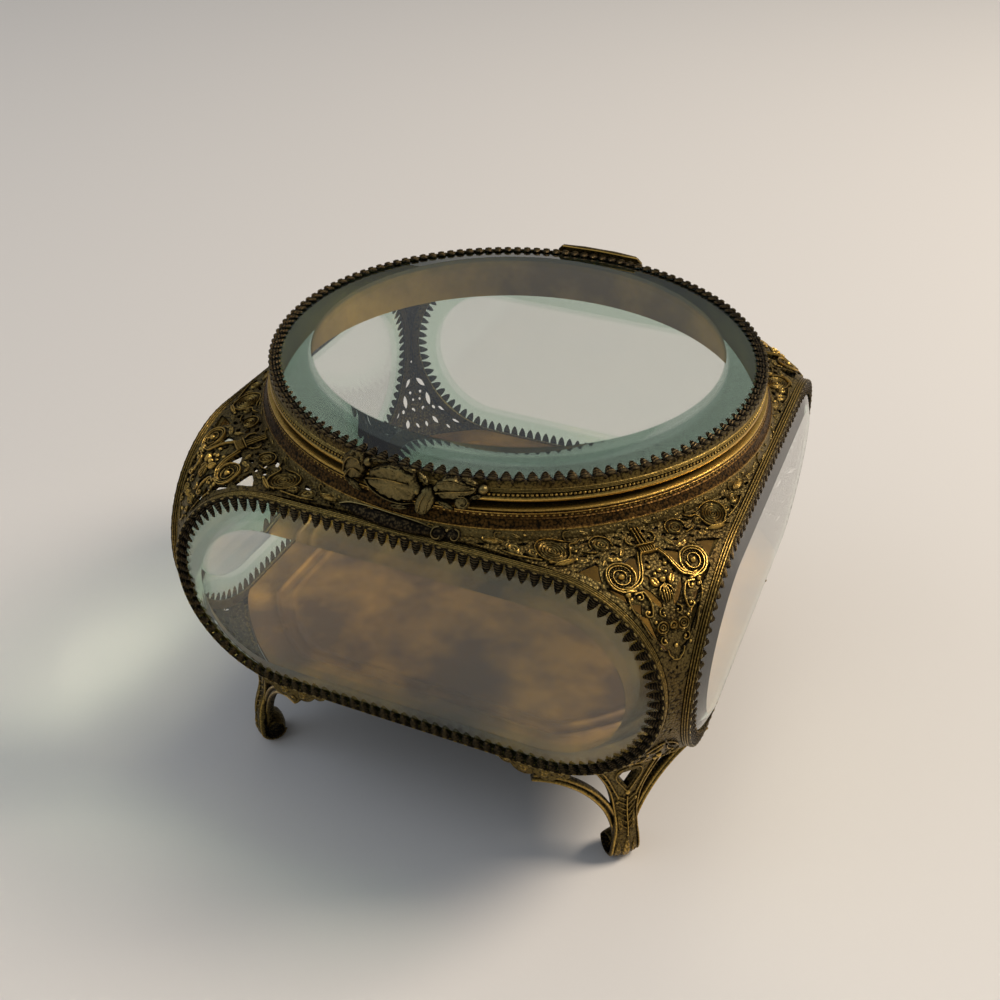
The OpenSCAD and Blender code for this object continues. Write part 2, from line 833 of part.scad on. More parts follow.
bottom_plate();
on_corner("front_left") corner_plate();  // corner_front_left
on_corner("front_right") corner_plate();  // corner_front_right
on_corner("back_left") corner_plate();  // corner_back_left
on_corner("back_right") corner_plate();  // corner_back_right
on_side("front") side_frame();  // frame_front
on_side("back") side_frame();  // frame_back
on_side("left") side_frame();  // frame_left
on_side("right") side_frame();  // frame_right
on_side("front") side_gallery();  // gallery_front
on_side("back") side_gallery();  // gallery_back
on_side("left") side_gallery();  // gallery_left
on_side("right") side_gallery();  // gallery_right
on_side("front") side_glass();  // glass_front
on_side("back") side_glass();  // glass_back
on_side("left") side_glass();  // glass_left
on_side("right") side_glass();  // glass_right
on_corner("front_left") foot();  // foot_front_left
on_corner("front_right") foot();  // foot_front_right
on_corner("back_left") foot();  // foot_back_left
on_corner("back_right") foot();  // foot_back_right
collar_ring();
collar_liner();
lid_band();
lid_gallery();
lid_glass();
lid_hinge_leaf();
body_hinge_leaf();
hinge_pin();
clasp_lift();
catch_plate();
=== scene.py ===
"""Glass casket box: the looks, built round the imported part.

The casket is pierced and gilded stamped brass with four bevelled side glasses and a round
bevelled lid glass. The classes below hold their sizes in millimetres, and every mesh is made
in metres, in the part's own frame: +Z up, the front towards -Y, the origin on the floor.
"""

from __future__ import annotations

import logging
import math
from contextlib import contextmanager
from dataclasses import dataclass, field
from enum import Enum
from functools import partial
from typing import Callable, Iterable, Iterator, Sequence

import bpy
import numpy as np
from mathutils import Matrix, Vector

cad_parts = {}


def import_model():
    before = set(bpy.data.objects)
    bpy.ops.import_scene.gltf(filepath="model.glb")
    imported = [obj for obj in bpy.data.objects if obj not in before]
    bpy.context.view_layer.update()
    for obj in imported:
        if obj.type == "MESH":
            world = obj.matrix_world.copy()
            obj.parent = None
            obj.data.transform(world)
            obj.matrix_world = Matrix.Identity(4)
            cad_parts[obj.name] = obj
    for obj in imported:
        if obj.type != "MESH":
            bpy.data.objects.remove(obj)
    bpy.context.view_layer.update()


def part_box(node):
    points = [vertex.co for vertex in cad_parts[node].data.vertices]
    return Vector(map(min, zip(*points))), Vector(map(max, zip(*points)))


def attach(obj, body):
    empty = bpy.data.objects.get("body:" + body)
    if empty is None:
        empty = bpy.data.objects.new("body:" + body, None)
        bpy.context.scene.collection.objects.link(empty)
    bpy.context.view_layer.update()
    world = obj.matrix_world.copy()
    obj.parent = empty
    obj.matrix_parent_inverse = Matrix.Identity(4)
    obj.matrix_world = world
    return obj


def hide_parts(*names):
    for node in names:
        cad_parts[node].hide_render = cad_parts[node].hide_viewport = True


MM = 0.001
LOG = logging.getLogger("casket")
ROUND_STEPS = 240
FACING = 0.9
SEAM = 1e-8
PLATE_BACK = 1.7
END_ANGLE = 86.0
LEAF_STEPS = 5
DISC_STEPS = 10
VEIN = 0.35
SHARP = 40.0

Piece = bpy.types.Object
Array = np.ndarray
Point = Sequence[float]
Points = Sequence[Point]


class Side(Enum):
    """A side of the box, with the turn from the front in degrees."""

    FRONT = 0
    RIGHT = 90
    BACK = 180
    LEFT = 270


class Corner(Enum):
    """A corner of the box, with the direction of its diagonal in degrees."""

    BACK_RIGHT = 45
    BACK_LEFT = 135
    FRONT_LEFT = 225
    FRONT_RIGHT = 315


class Slot(Enum):
    """The record's material slots."""

    ANTIQUE = "antique_brass"
    DARK = "dark_brass"
    POLISHED = "polished_brass"
    GLASS = "bevelled_glass"


# Small tools for modelling


def deselect_all() -> None:
    """Leaves object mode with nothing selected, as an operator works on what is selected."""
    if bpy.context.object is not None and bpy.context.object.mode != "OBJECT":
        bpy.ops.object.mode_set(mode="OBJECT")
    bpy.ops.object.select_all(action="DESELECT")


def focus(piece: Piece) -> None:
    """Makes one object the only selected and active one.

    Args:
        piece: The object to work on.
    """
    deselect_all()
    piece.select_set(True)
    bpy.context.view_layer.objects.active = piece


@contextmanager
def editing(piece: Piece, select: str = "SELECT") -> Iterator[None]:
    """Opens a mesh in edit mode for the operators in a block.

    Args:
        piece: A mesh object.
        select: SELECT or DESELECT for all of the mesh, or nothing to keep what is selected.

    Yields:
        Nothing. Object mode comes back after the block.
    """
    focus(piece)
    bpy.ops.object.mode_set(mode="EDIT")
    if select:
        bpy.ops.mesh.select_all(action=select)
    yield
    bpy.ops.object.mode_set(mode="OBJECT")


def named(name: str) -> Piece:
    """Names the object that an operator has just added, and returns it.

    Args:
        name: The new name of the object and its mesh.

    Returns:
        The active object.
    """
    piece = bpy.context.object
    piece.name = name
    piece.data.name = name
    return piece


def coordinates(piece: Piece) -> Array:
    """Reads the vertices of a mesh.

    Args:
        piece: A mesh object.

    Returns:
        The places as an array of three columns.
    """
    places = np.empty(len(piece.data.vertices) * 3)
    piece.data.vertices.foreach_get("co", places)
    return places.reshape(-1, 3)


def set_coordinates(piece: Piece, places: Array) -> None:
    """Moves the vertices of a mesh.

    Args:
        piece: A mesh object.
        places: The new places as an array of three columns.
    """
    piece.data.vertices.foreach_set("co", np.ascontiguousarray(places, dtype=float).ravel())
    piece.data.update()


def clean(piece: Piece, gap: float = SEAM) -> None:
    """Merges doubled vertices and turns every face outwards.

    Args:
        piece: A mesh object that is closed once its doubles are merged.
        gap: The distance in metres within which vertices are merged.
    """
    with editing(piece):
        bpy.ops.mesh.remove_doubles(threshold=gap)
        bpy.ops.mesh.normals_make_consistent(inside=False)


def smooth(piece: Piece, degrees: float = SHARP) -> None:
    """Shades a piece smooth, with sharp edges kept.

    Args:
        piece: A mesh object.
        degrees: Edges that turn more than this stay sharp.
    """
    focus(piece)
    bpy.ops.object.shade_smooth_by_angle(angle=math.radians(degrees))


def inset_faces(piece: Piece, way: Point, insets: Points) -> None:
    """Insets the faces that look one way, several times over.

    Args:
        piece: A mesh object.
        way: The direction that the faces look in.
        insets: Thickness and depth of each inset in millimetres.
    """
    with editing(piece, "DESELECT"):
        bpy.ops.mesh.select_mode(type="FACE")
    for face in piece.data.polygons:
        face.select = face.normal.dot(Vector(way)) > FACING
    with editing(piece, ""):
        for thickness, depth in insets:
            bpy.ops.mesh.inset(thickness=thickness * MM, depth=depth * MM)


def pearl(size: Point) -> Piece:
    """Adds a small round bead.

    Args:
        size: Its reach along x, y and z in millimetres.

    Returns:
        The bead.
    """
    deselect_all()
    bpy.ops.mesh.primitive_ico_sphere_add(subdivisions=1, radius=1.0)
    piece = named("pearl")
    set_coordinates(piece, coordinates(piece) * np.array(size) * MM)
    return piece


def wire(name: str, points: Points) -> Piece:
    """Adds a circle and moves its vertices onto the points of a closed section.

    Args:
        name: Name of the new object.
        points: The section's points in order, in millimetres.

    Returns:
        The wire object.
    """
    deselect_all()
    bpy.ops.mesh.primitive_circle_add(vertices=len(points), radius=MM, fill_type="NOTHING")
    piece = named(name)
    set_coordinates(piece, np.array(points, dtype=float) * MM)
    return piece


def turned(name: str, section: Points) -> Piece:
    """Spins a closed section a full turn about the upright axis.

    Args:
        name: Name of the new object.
        section: Points as radius and height in millimetres.

    Returns:
        The turned ring.
    """
    piece = wire(name, [(r, 0.0, z) for r, z in section])
    with editing(piece):
        bpy.ops.mesh.spin(steps=ROUND_STEPS, angle=math.tau, center=(0, 0, 0), axis=(0, 0, 1))
    clean(piece, 1e-6)
    return piece


def grid(name: str, columns: int, rows: int) -> tuple[Piece, Array, Array]:
    """Adds a flat grid, to be bent to a shape.

    Args:
        name: Name of the new object.
        columns: Faces along the first share.
        rows: Faces along the second share.

    Returns:
        The grid, and its vertices' shares from 0 to 1 along its columns and along its rows.
    """
    deselect_all()
    bpy.ops.mesh.primitive_grid_add(x_subdivisions=columns, y_subdivisions=rows, size=2.0)
    piece = named(name)
    flat = coordinates(piece)
    return piece, (flat[:, 0] + 1) / 2, (flat[:, 1] + 1) / 2


def bend(piece: Piece, places: Array, capped: bool = False) -> Piece:
    """Bends a grid to a shape, closing the seams that meet.

    Args:
        piece: The grid.
        places: Where its vertices go, in millimetres.
        capped: Whether the open ends are filled with faces.

    Returns:
        The grid.
    """
    set_coordinates(piece, places * MM)
    with editing(piece):
        bpy.ops.mesh.remove_doubles(threshold=1e-6)
        if capped:
            bpy.ops.mesh.select_mode(type="VERT")
            bpy.ops.mesh.select_all(action="DESELECT")
            bpy.ops.mesh.select_non_manifold()
            bpy.ops.mesh.fill_holes(sides=0)
            bpy.ops.mesh.select_all(action="SELECT")
        bpy.ops.mesh.normals_make_consistent(inside=False)
    return piece


def pick(values: Array, share: Array, closed: bool = False) -> Array:
    """Picks the value that stands at each share of a row of values.

    Args:
        values: The values in order, which may be points.
        share: Shares from 0 to 1 along the row.
        closed: Whether the row runs back to its first value.

    Returns:
        One value for each share.
    """
    row = np.asarray(values)
    return row[np.rint(share * (len(row) - (not closed))).astype(int) % len(row)]


def smooth_line(points: Points, per_span: int) -> Array:
    """Runs a smooth curve through a few points.

    Args:
        points: Two or more points of any dimension.
        per_span: Steps between neighbouring points.

    Returns:
        The points of the curve, with the given ones among them.
    """
    given = np.array(points, dtype=float)
    ends = np.vstack([2 * given[0] - given[1], given, 2 * given[-1] - given[-2]])
    share = np.linspace(0, 1, per_span, endpoint=False)[:, None]
    spans = []
    for a, b, c, d in zip(ends, ends[1:], ends[2:], ends[3:]):
        bend = (2 * a - 5 * b + 4 * c - d) * share**2 + (3 * b - a - 3 * c + d) * share**3
        spans.append(0.5 * (2 * b + (c - a) * share + bend))
    return np.vstack([*spans, given[-1:]])


def join(name: str, pieces: Sequence[Piece]) -> Piece:
    """Joins pieces into one object.

    Args:
        name: Name of the joined object.
        pieces: The objects, which are used up.

    Returns:
        The joined object.
    """
    deselect_all()
    for piece in pieces:
        piece.select_set(True)
    bpy.context.view_layer.objects.active = pieces[0]
    if len(pieces) > 1:
        bpy.ops.object.join()
    return named(name)


def copies(name: str, model: Piece, places: Iterable[Array]) -> Piece:
    """Repeats one small shape at many places, as one mesh.

    Args:
        name: Name of the new object.
        model: The shape that is repeated, which is used up.
        places: A matrix of four rows for each copy, in metres.

    Returns:
        The object with all the copies.
    """
    base = np.hstack([coordinates(model), np.ones((len(model.data.vertices), 1))])
    loops = [tuple(face.vertices) for face in model.data.polygons]
    stacks = []
    faces = []
    for number, place in enumerate(places):
        stacks.append((base @ np.asarray(place).T)[:, :3])
        faces.extend(tuple(number * len(base) + i for i in loop) for loop in loops)
    mesh = bpy.data.meshes.new(name)
    mesh.from_pydata(np.vstack(stacks).tolist(), [], faces)
    mesh.update()
    piece = bpy.data.objects.new(name, mesh)
    bpy.context.scene.collection.objects.link(piece)
    bpy.data.objects.remove(model)
    return piece


def turned_copy(name: str, model: Piece, degrees: float) -> Piece:
    """Copies a piece with its own mesh and turns it about the upright axis.

    Args:
        name: Name of the copy.
        model: The piece to copy.
        degrees: Turn from above, anticlockwise.

    Returns:
        The copy.
    """
    piece = model.copy()
    piece.data = model.data.copy()
    piece.name = name
    piece.data.name = name
    bpy.context.scene.collection.objects.link(piece)
    piece.data.transform(Matrix.Rotation(math.radians(degrees), 4, "Z"))
    return piece


def mirrored(name: str, model: Piece, axis: int) -> Piece:
    """Copies a piece with its own mesh, mirrored, with its faces outwards.

    Args:
        name: Name of the copy.
        model: The piece to copy.
        axis: 0 to mirror left and right, 1 to mirror front and back.

    Returns:
        The copy.
    """
    piece = turned_copy(name, model, 0.0)
    way = Vector((float(axis == 0), float(axis == 1), 0.0))
    piece.data.transform(Matrix.Scale(-1, 4, way))
    clean(piece)
    return piece


def cut(piece: Piece, cutter: Piece) -> None:
    """Takes one closed shape out of another, and removes the cutter.

    Args:
        piece: The object that is cut.
        cutter: The shape that is taken out.
    """
    focus(piece)
    modifier = piece.modifiers.new("cut", "BOOLEAN")
    modifier.operation = "DIFFERENCE"
    modifier.solver = "EXACT"
    modifier.object = cutter
    bpy.ops.object.modifier_apply(modifier=modifier.name)
    bpy.data.objects.remove(cutter)


def paint_relief(piece: Piece, values: float | Array) -> None:
    """Stores how far each point stands out, from 0 in a recess to 1 on a crest.

    Args:
        piece: A mesh object.
        values: One value for all vertices, or one for each.
    """
    layer = piece.data.attributes.get("relief")
    if layer is None:
        layer = piece.data.attributes.new("relief", "FLOAT", "POINT")
    levels = np.full(len(piece.data.vertices), np.clip(values, 0, 1), dtype=np.float32)
    layer.data.foreach_set("value", levels)


# Finishes


def linear(code: str) -> tuple[float, float, float, float]:
    """Turns an sRGB colour code into a linear colour.

    Args:
        code: Six hexadecimal digits after a hash sign.

    Returns:
        Red, green, blue and alpha.
    """
    shares = [int(code[i : i + 2], 16) / 255 for i in (1, 3, 5)]
    tones = [s / 12.92 if s <= 0.04045 else ((s + 0.055) / 1.055) ** 2.4 for s in shares]
    return (tones[0], tones[1], tones[2], 1.0)


def add_node(
    tree: bpy.types.NodeTree, kind: str, settings: dict[str | int, object] | None = None,
    links: dict[str | int, bpy.types.NodeSocket] | None = None, out: str | int = 0,
) -> bpy.types.NodeSocket | None:
    """Adds a shader node with its settings and links.

    Args:
        tree: The node tree.
        kind: The node's type, without the words that all types begin with.
        settings: Values for properties, or for input sockets where no property has the name.
        links: Output sockets of other nodes, by the name or number of the input they feed.
        out: Name or number of the output that is wanted.

    Returns:
        That output socket, or nothing for a node with no outputs.
    """
    node = tree.nodes.new("ShaderNode" + kind)
    for key, value in (settings or {}).items():
        if isinstance(key, str) and hasattr(node, key):
            setattr(node, key, value)
        else:
            node.inputs[key].default_value = value
    for key, source in (links or {}).items():
        tree.links.new(source, node.inputs[key])
    return node.outputs[out] if len(node.outputs) else None


def per_metre(size_mm: float) -> float:
    """Gives a texture's scale for a pattern of a real size.

    Args:
        size_mm: Size of one cell of the pattern in millimetres.

    Returns:
        The scale on coordinates in metres.
    """
    return 1.0 / (size_mm * MM)


def new_material(name: str) -> tuple[bpy.types.Material, Callable[..., bpy.types.NodeSocket]]:
    """Makes a material with no nodes.

    Args:
        name: Name of the material.

    Returns:
        The material, and the function that adds a node to it.
    """
    material = bpy.data.materials.new(name)
    material.use_nodes = True
    material.node_tree.nodes.clear()
    return material, partial(add_node, material.node_tree)


@dataclass(frozen=True)
class AgedBrass:
    """Stamped brass with an antique gilt lacquer, dark in the hollows and rubbed on the crests.

    The colour goes by the relief of the stamping and by painted shade in the crevices, and large
    soft stains warm or green it.
    """

    name: str
    slot: Slot = Slot.ANTIQUE
    hollow: str = "#171208"
    ground: str = "#6a5a30"
    crest: str = "#d3ac58"
    stain: str = "#4a3216"
    stain_share: float = 0.5
    stain_mm: float = 14.0
    grain_mm: float = 0.32
    grain_height: float = 0.4
    stipple_mm: float = 0.55
    stipple: float = 0.3
    cavity_mm: float = 0.8
    roughness: float = 0.42
    metallic: float = 0.95

    def build(self) -> None:
        """Builds the material."""
        _, node = new_material(self.name)
        place = node("TexCoord", out="Object")
        relief = node("Attribute", {"attribute_name": "relief"}, out="Fac")
        stains = node(
            "TexNoise",
            {"Scale": per_metre(self.stain_mm), "Detail": 4.0, "Roughness": 0.6}, {"Vector": place},
        )
        grain = node(
            "TexNoise", {"Scale": per_metre(self.grain_mm), "Detail": 3.0, "Roughness": 0.65},
            {"Vector": place},
        )
        rough = node("Math", {"operation": "MULTIPLY_ADD", 1: 0.7, 2: -0.35}, {0: grain})
        dots = node(
            "TexVoronoi",
            {"Scale": per_metre(self.stipple_mm), "Randomness": 0.9}, {"Vector": place},
        )
        deep = {"operation": "MULTIPLY_ADD", 1: -2.2 * self.stipple, 2: self.stipple}
        bumps = node("Math", deep, {0: dots})
        # Real grain and stippling are finer, and are drawn as coarse as they need to show. They
        # fade on the polished crests.
        flat = node(
            "MapRange",
            {"From Min": 0.35, "From Max": 0.9, "To Min": 1.0, "To Max": 0.15}, {"Value": relief},
        )
        stippled = node("Math", {"operation": "MULTIPLY"}, {0: bumps, 1: flat})
        # Ambient occlusion darkens the colour where the piece's own surface closes round a point:
        # painted shade in the crevices, on top of the patina that the relief gives the hollows.
        cavity = node(
            "AmbientOcclusion",
            {"Distance": self.cavity_mm * MM, "only_local": True, "samples": 6}, out="AO",
        )
        sunk = node(
            "MapRange", {"From Min": 0.35, "From Max": 0.95, "To Min": -0.42, "To Max": 0.06},
            {"Value": cavity},
        )
        wear_and_shade = relief
        for part in (rough, stippled, sunk):
            wear_and_shade = node("Math", {"operation": "ADD"}, {0: wear_and_shade, 1: part})
        lower, upper = (
            node(
                "MapRange", {"From Min": low, "From Max": high, "interpolation_type": "SMOOTHSTEP"},
                {"Value": wear_and_shade},
            )
            for low, high in ((0.02, 0.42), (0.55, 1.05))
        )
        stained = node(
            "MapRange",
            {"From Min": 0.45, "From Max": 0.7, "To Max": self.stain_share}, {"Value": stains},
        )
        ground = node(
            "Mix",
            {"data_type": "RGBA", 6: linear(self.ground), 7: linear(self.stain)}, {0: stained}, 2,
        )
        low = node("Mix", {"data_type": "RGBA", 6: linear(self.hollow)}, {0: lower, 7: ground}, 2)
        colour = node("Mix", {"data_type": "RGBA", 7: linear(self.crest)}, {0: upper, 6: low}, 2)
        gloss = node(
            "MapRange",
            {"To Min": self.roughness + 0.18, "To Max": self.roughness - 0.14}, {"Value": wear_and_shade},
        )
        height = node("Math", {"operation": "MULTIPLY_ADD", 1: 2.5}, {0: stippled, 2: grain})
        bump = node(
            "Bump", {"Strength": self.grain_height, "Distance": 0.12 * MM}, {"Height": height}
        )
        shader = node(
            "BsdfPrincipled",
            {"Metallic": self.metallic}, {"Base Color": colour, "Roughness": gloss, "Normal": bump},
        )
        node("OutputMaterial", links={"Surface": shader})


@dataclass(frozen=True)
class TarnishedSheet:
    """Rolled brass sheet inside the box, satin, with brown and dark blotches of tarnish."""

    name: str
    slot: Slot = Slot.POLISHED
    bright: str = "#8e682a"
    brown: str = "#4a341c"
    dark: str = "#34281e"
    # Near black: painted shade where the relief is low
    painted_shade: str = "#120e08"
    blotch_mm: float = 22.0
    fleck_mm: float = 0.5
    roughness: float = 0.45
    metallic: float = 0.75

    def build(self) -> None:
        """Builds the material."""
        _, node = new_material(self.name)
        place = node("TexCoord", out="Object")
        blotches, clouds, flecks = (
            node(
                "TexNoise", {"Scale": per_metre(size), "Detail": detail, **more}, {"Vector": place}
            )
            for size, detail, more in (
                (self.blotch_mm, 5.0, {"Roughness": 0.62}),
                (self.blotch_mm * 1.7, 3.0, {"Distortion": 0.6}),
                # Real flecks are finer, and are drawn as coarse as they need to show
                (self.fleck_mm, 3.0, {"Roughness": 0.7}),
            )
        )
        brown = node("MapRange", {"From Min": 0.38, "From Max": 0.6}, {"Value": blotches})
        dark = node(
            "MapRange", {"From Min": 0.56, "From Max": 0.74, "To Max": 0.75}, {"Value": clouds}
        )
        warm = node(
            "Mix",
            {"data_type": "RGBA", 6: linear(self.bright), 7: linear(self.brown)}, {0: brown}, 2,
        )
        colour = node("Mix", {"data_type": "RGBA", 7: linear(self.dark)}, {0: dark, 6: warm}, 2)
        # Where the relief is low the colour goes near black: painted shade, in the gap between the
        # lid band and the collar and on the floor plate's underside and lower edge.
        relief = node("Attribute", {"attribute_name": "relief"}, out="Fac")
        sunk = node("MapRange", {"From Max": 0.3}, {"Value": relief})
        colour = node("Mix", {"data_type": "RGBA", 6: linear(self.painted_shade)}, {0: sunk, 7: colour}, 2)
        rough = node(
            "MapRange",
            {"To Min": self.roughness - 0.1, "To Max": self.roughness + 0.15}, {"Value": blotches},
        )
        bump = node("Bump", {"Strength": 0.25, "Distance": 0.08 * MM}, {"Height": flecks})
        shader = node(
            "BsdfPrincipled",
            {"Metallic": self.metallic}, {"Base Color": colour, "Roughness": rough, "Normal": bump},
        )
        node("OutputMaterial", links={"Surface": shader})


@dataclass(frozen=True)
class BevelledGlass:
    """Polished plate glass with a ground and polished bevel, painted with the green that its edge
    shows.
    """

    name: str
    slot: Slot = Slot.GLASS
    flat: str = "#f4f7f5"
    # The bevel's deeper green is painted refraction: the green that the glass shows through its
    # thick edge
    bevel: str = "#cfe2d6"
    ior: float = 1.5

    def build(self) -> None:
        """Builds the material. Its shadow is that of a tinted clear sheet."""
        _, node = new_material(self.name)
        relief = node("Attribute", {"attribute_name": "relief"}, out="Fac")
        # The bevel faces take the bevel colour and the flat takes the clear one: painted refraction
        # on the bevel
        colour = node(
            "Mix",
            {"data_type": "RGBA", 6: linear(self.bevel), 7: linear(self.flat)}, {0: relief}, 2,
        )
        glass = node(
            "BsdfPrincipled",
            {"Transmission Weight": 1.0, "Roughness": 0.0, "IOR": self.ior}, {"Base Color": colour},
        )
        clear = node("BsdfTransparent", links={"Color": colour})
        shadow = node("LightPath", out="Is Shadow Ray")
        both = node("MixShader", links={0: shadow, 1: glass, 2: clear})
        node("OutputMaterial", links={"Surface": both})


@dataclass(frozen=True)
class PaintedFloor:
    """The plain pale table top under the box."""

    name: str = "pale_floor"
    colour: str = "#d3d0cd"

    def build(self) -> bpy.types.Material:
        """Builds the material.

        Returns:
            The material.
        """
        material, node = new_material(self.name)
        shader = node("BsdfPrincipled", {"Base Color": linear(self.colour), "Roughness": 0.6})
        node("OutputMaterial", links={"Surface": shader})
        return material


class Finish(Enum):
    """The casket's finishes. The shades set the gilt crests off from the darkened grounds."""

    ANTIQUE = AgedBrass("antique_gilt_brass")
    FILIGREE = AgedBrass("stippled_gilt_brass", ground="#6c5d36", stipple=0.34, grain_height=0.8)
    CAST = AgedBrass(
        "cast_gilt_brass", ground="#7d6f46", stipple=0.2, stipple_mm=0.45, cavity_mm=1.2
    )
    DARK = AgedBrass(
        "darkened_brass",
        Slot.DARK, hollow="#15110c", ground="#4c402a", crest="#8d7a4c", stain_share=0.2,
    )
    COLLAR = AgedBrass("stained_collar_brass", ground="#5c421f", stain="#2c190b", stain_share=0.8)
    SHEET = TarnishedSheet(
        "satin_brass_sheet", bright="#b0924a", brown="#7a6432", dark="#4c4026", blotch_mm=30.0
    )
    FLOOR_PLATE = TarnishedSheet("tarnished_brass_sheet")
    GLASS = BevelledGlass("bevelled_plate_glass")
    # The lid's bevel is painted a darker grey green: painted refraction
    LID_GLASS = BevelledGlass("bevelled_lid_glass", bevel="#869e92")


def finish_piece(piece: Piece, finish: Finish, body: str, *nodes: str) -> None:
    """Dresses a finished piece and ties it to the part.

    Args:
        piece: The finished mesh object.
        finish: Its finish.
        body: The body that it moves with.
        nodes: The part's nodes that it stands for.
    """
    piece.data.materials.clear()
    piece.data.materials.append(bpy.data.materials[finish.value.name])
    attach(piece, body)
    if nodes:
        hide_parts(*nodes)
    LOG.info("%s: %d faces", piece.name, len(piece.data.polygons))


def finish_round(model: Piece, name: str, finish: Finish, node: str, turns: type[Enum]) -> None:
    """Sets a model round the box, dresses the copies and removes the model.

    Args:
        model: The model, on the side or diagonal over which nothing is turned.
        name: What the copies' names begin with.
        finish: Their finish.
        node: What the names of the part's nodes begin with.
        turns: The sides or the corners.
    """
    for turn in turns:
        word = turn.name.lower()
        piece = turned_copy(f"{name}_{word}", model, turn.value)
        finish_piece(piece, finish, "casket", f"{node}_{word}")
    bpy.data.objects.remove(model)


# Sizes shared by the sub-assemblies


@dataclass(frozen=True)
class CasketSizes:
    """The main sizes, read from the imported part, in millimetres."""

    panel_straight: float
    panel_r: float
    panel_mid: float
    channel_back: float
    channel_rim: float
    glass_back: float
    glass_face: float
    glass_r: float
    collar_r: float
    collar_foot: float
    collar_rim: float
    liner_r: float
    liner_foot: float
    liner_top: float
    band_r: float
    band_foot: float
    band_rim: float
    lid_glass_r: float
    lid_glass_foot: float
    lid_glass_top: float
    floor_low: float
    hinge_y: float
    hinge_z: float
    pin_r: float
    leaf_half: float
    leaf_top: float

    @classmethod
    def from_frame(cls) -> CasketSizes:
        """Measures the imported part.

        Returns:
            The sizes.
        """
        names = ("frame_front", "glass_front", "collar_ring", "collar_liner", "lid_band")
        names += ("lid_glass", "bottom_plate", "hinge_pin", "lid_hinge_leaf")
        frame, glass, collar, liner, band, lid, plate, pin, leaf = (
            [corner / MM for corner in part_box(name)] for name in names
        )
        panel_r = (frame[1].z - frame[0].z) / 2
        return cls(
            panel_straight=frame[1].x - panel_r, panel_r=panel_r,
            panel_mid=(frame[1].z + frame[0].z) / 2, channel_back=-frame[1].y,
            channel_rim=-frame[0].y, glass_back=-glass[1].y, glass_face=-glass[0].y,
            glass_r=(glass[1].z - glass[0].z) / 2, collar_r=collar[1].x, collar_foot=collar[0].z,
            collar_rim=collar[1].z, liner_r=liner[1].x, liner_foot=liner[0].z, liner_top=liner[1].z,
            band_r=band[1].x, band_foot=band[0].z, band_rim=band[1].z, lid_glass_r=lid[1].x,
            lid_glass_foot=lid[0].z, lid_glass_top=lid[1].z, floor_low=plate[0].z,
            hinge_y=(pin[0].y + pin[1].y) / 2, hinge_z=(pin[0].z + pin[1].z) / 2,
            pin_r=(pin[1].z - pin[0].z) / 2, leaf_half=leaf[1].x, leaf_top=leaf[1].z,
        )

    @property
    def plate_plane(self) -> float:
        """How far out the corner plates meet the panels."""
        return self.channel_rim - PLATE_BACK

    @property
    def corner_r(self) -> float:
        """Distance of the corner plates' ends from the middle of the box."""
        reach = self.panel_straight + self.panel_r * math.cos(math.radians(END_ANGLE))
        return math.hypot(self.plate_plane, reach)


@dataclass
class Tooth:
    """One folded leaf of a toothed strip, ribbed across, with a small ball at its tip.

    Its length runs along +Y from the fold, its width along X and its height along +Z.
    """

    length: float = 3.1
    half_width: float = 1.02
    ribs: int = 5
    rib_height: float = 0.13
    body_height: float = 0.28
    chevron: float = 0.16
    ball: float = 0.36

    def build(self) -> Piece:
        """Builds the tooth.

        Returns:
            The tooth, closed and of a few dozen faces.
        """
        stations = 2 * self.ribs + 3
        ribbed = self.length - 2 * self.ball
        net, across, along = grid("tooth", 6, stations)
        step = np.rint(along * stations)
        column = np.rint(across * 6).astype(int)
        past = step - 2 * self.ribs
        on_tip = past > 0
        y = np.where(on_tip, ribbed + past * self.ball * 0.66, ribbed * step / (2 * self.ribs))
        share = np.clip(y / ribbed, 0, 1)
        leaf = (1 - np.clip(y / self.length, 0, 0.99) ** 2.4) ** 0.75
        half = self.half_width * leaf * (1 - 0.1 * ((step % 2 == 0) & ~on_tip))
        crest = self.body_height * (1.1 - 0.25 * share) + self.rib_height * (2 * (step % 2) - 1)
        crest = np.select([past == 1, past == 2, past == 3], [0.36, 0.32, 0.1], crest)
        # Columns 0 to 4 cross the top, 5 and 6 close the underside
        x = np.choose(column, [-1.0, -0.6, 0.0, 0.6, 1.0, 0.0, -1.0]) * half
        z = np.choose(column, [0.02, 0.8, 1.0, 0.8, 0.02, 0.0, 0.02]) * crest
        y = y + np.where((column == 2) & ~on_tip & (step > 0), self.chevron, 0.0)
        return bend(net, np.column_stack([x, y, z]), capped=True)

    def row(self, name: str, places: Sequence[Array]) -> Piece:
        """Builds a row of teeth, dark at the edges and lit along the ribs.

        Args:
            name: Name of the row.
            places: A matrix for each tooth.

        Returns:
            The row.
        """
        model = self.build()
        _, y, z = coordinates(model).T / MM
        level = 0.7 * np.clip(z / (self.body_height + self.rib_height), 0, 1) ** 2.4
        level += np.where(y > self.length - 2 * self.ball, 0.12, 0.0)
        teeth = copies(name, model, places)
        paint_relief(teeth, np.tile(level, len(places)))
        return teeth


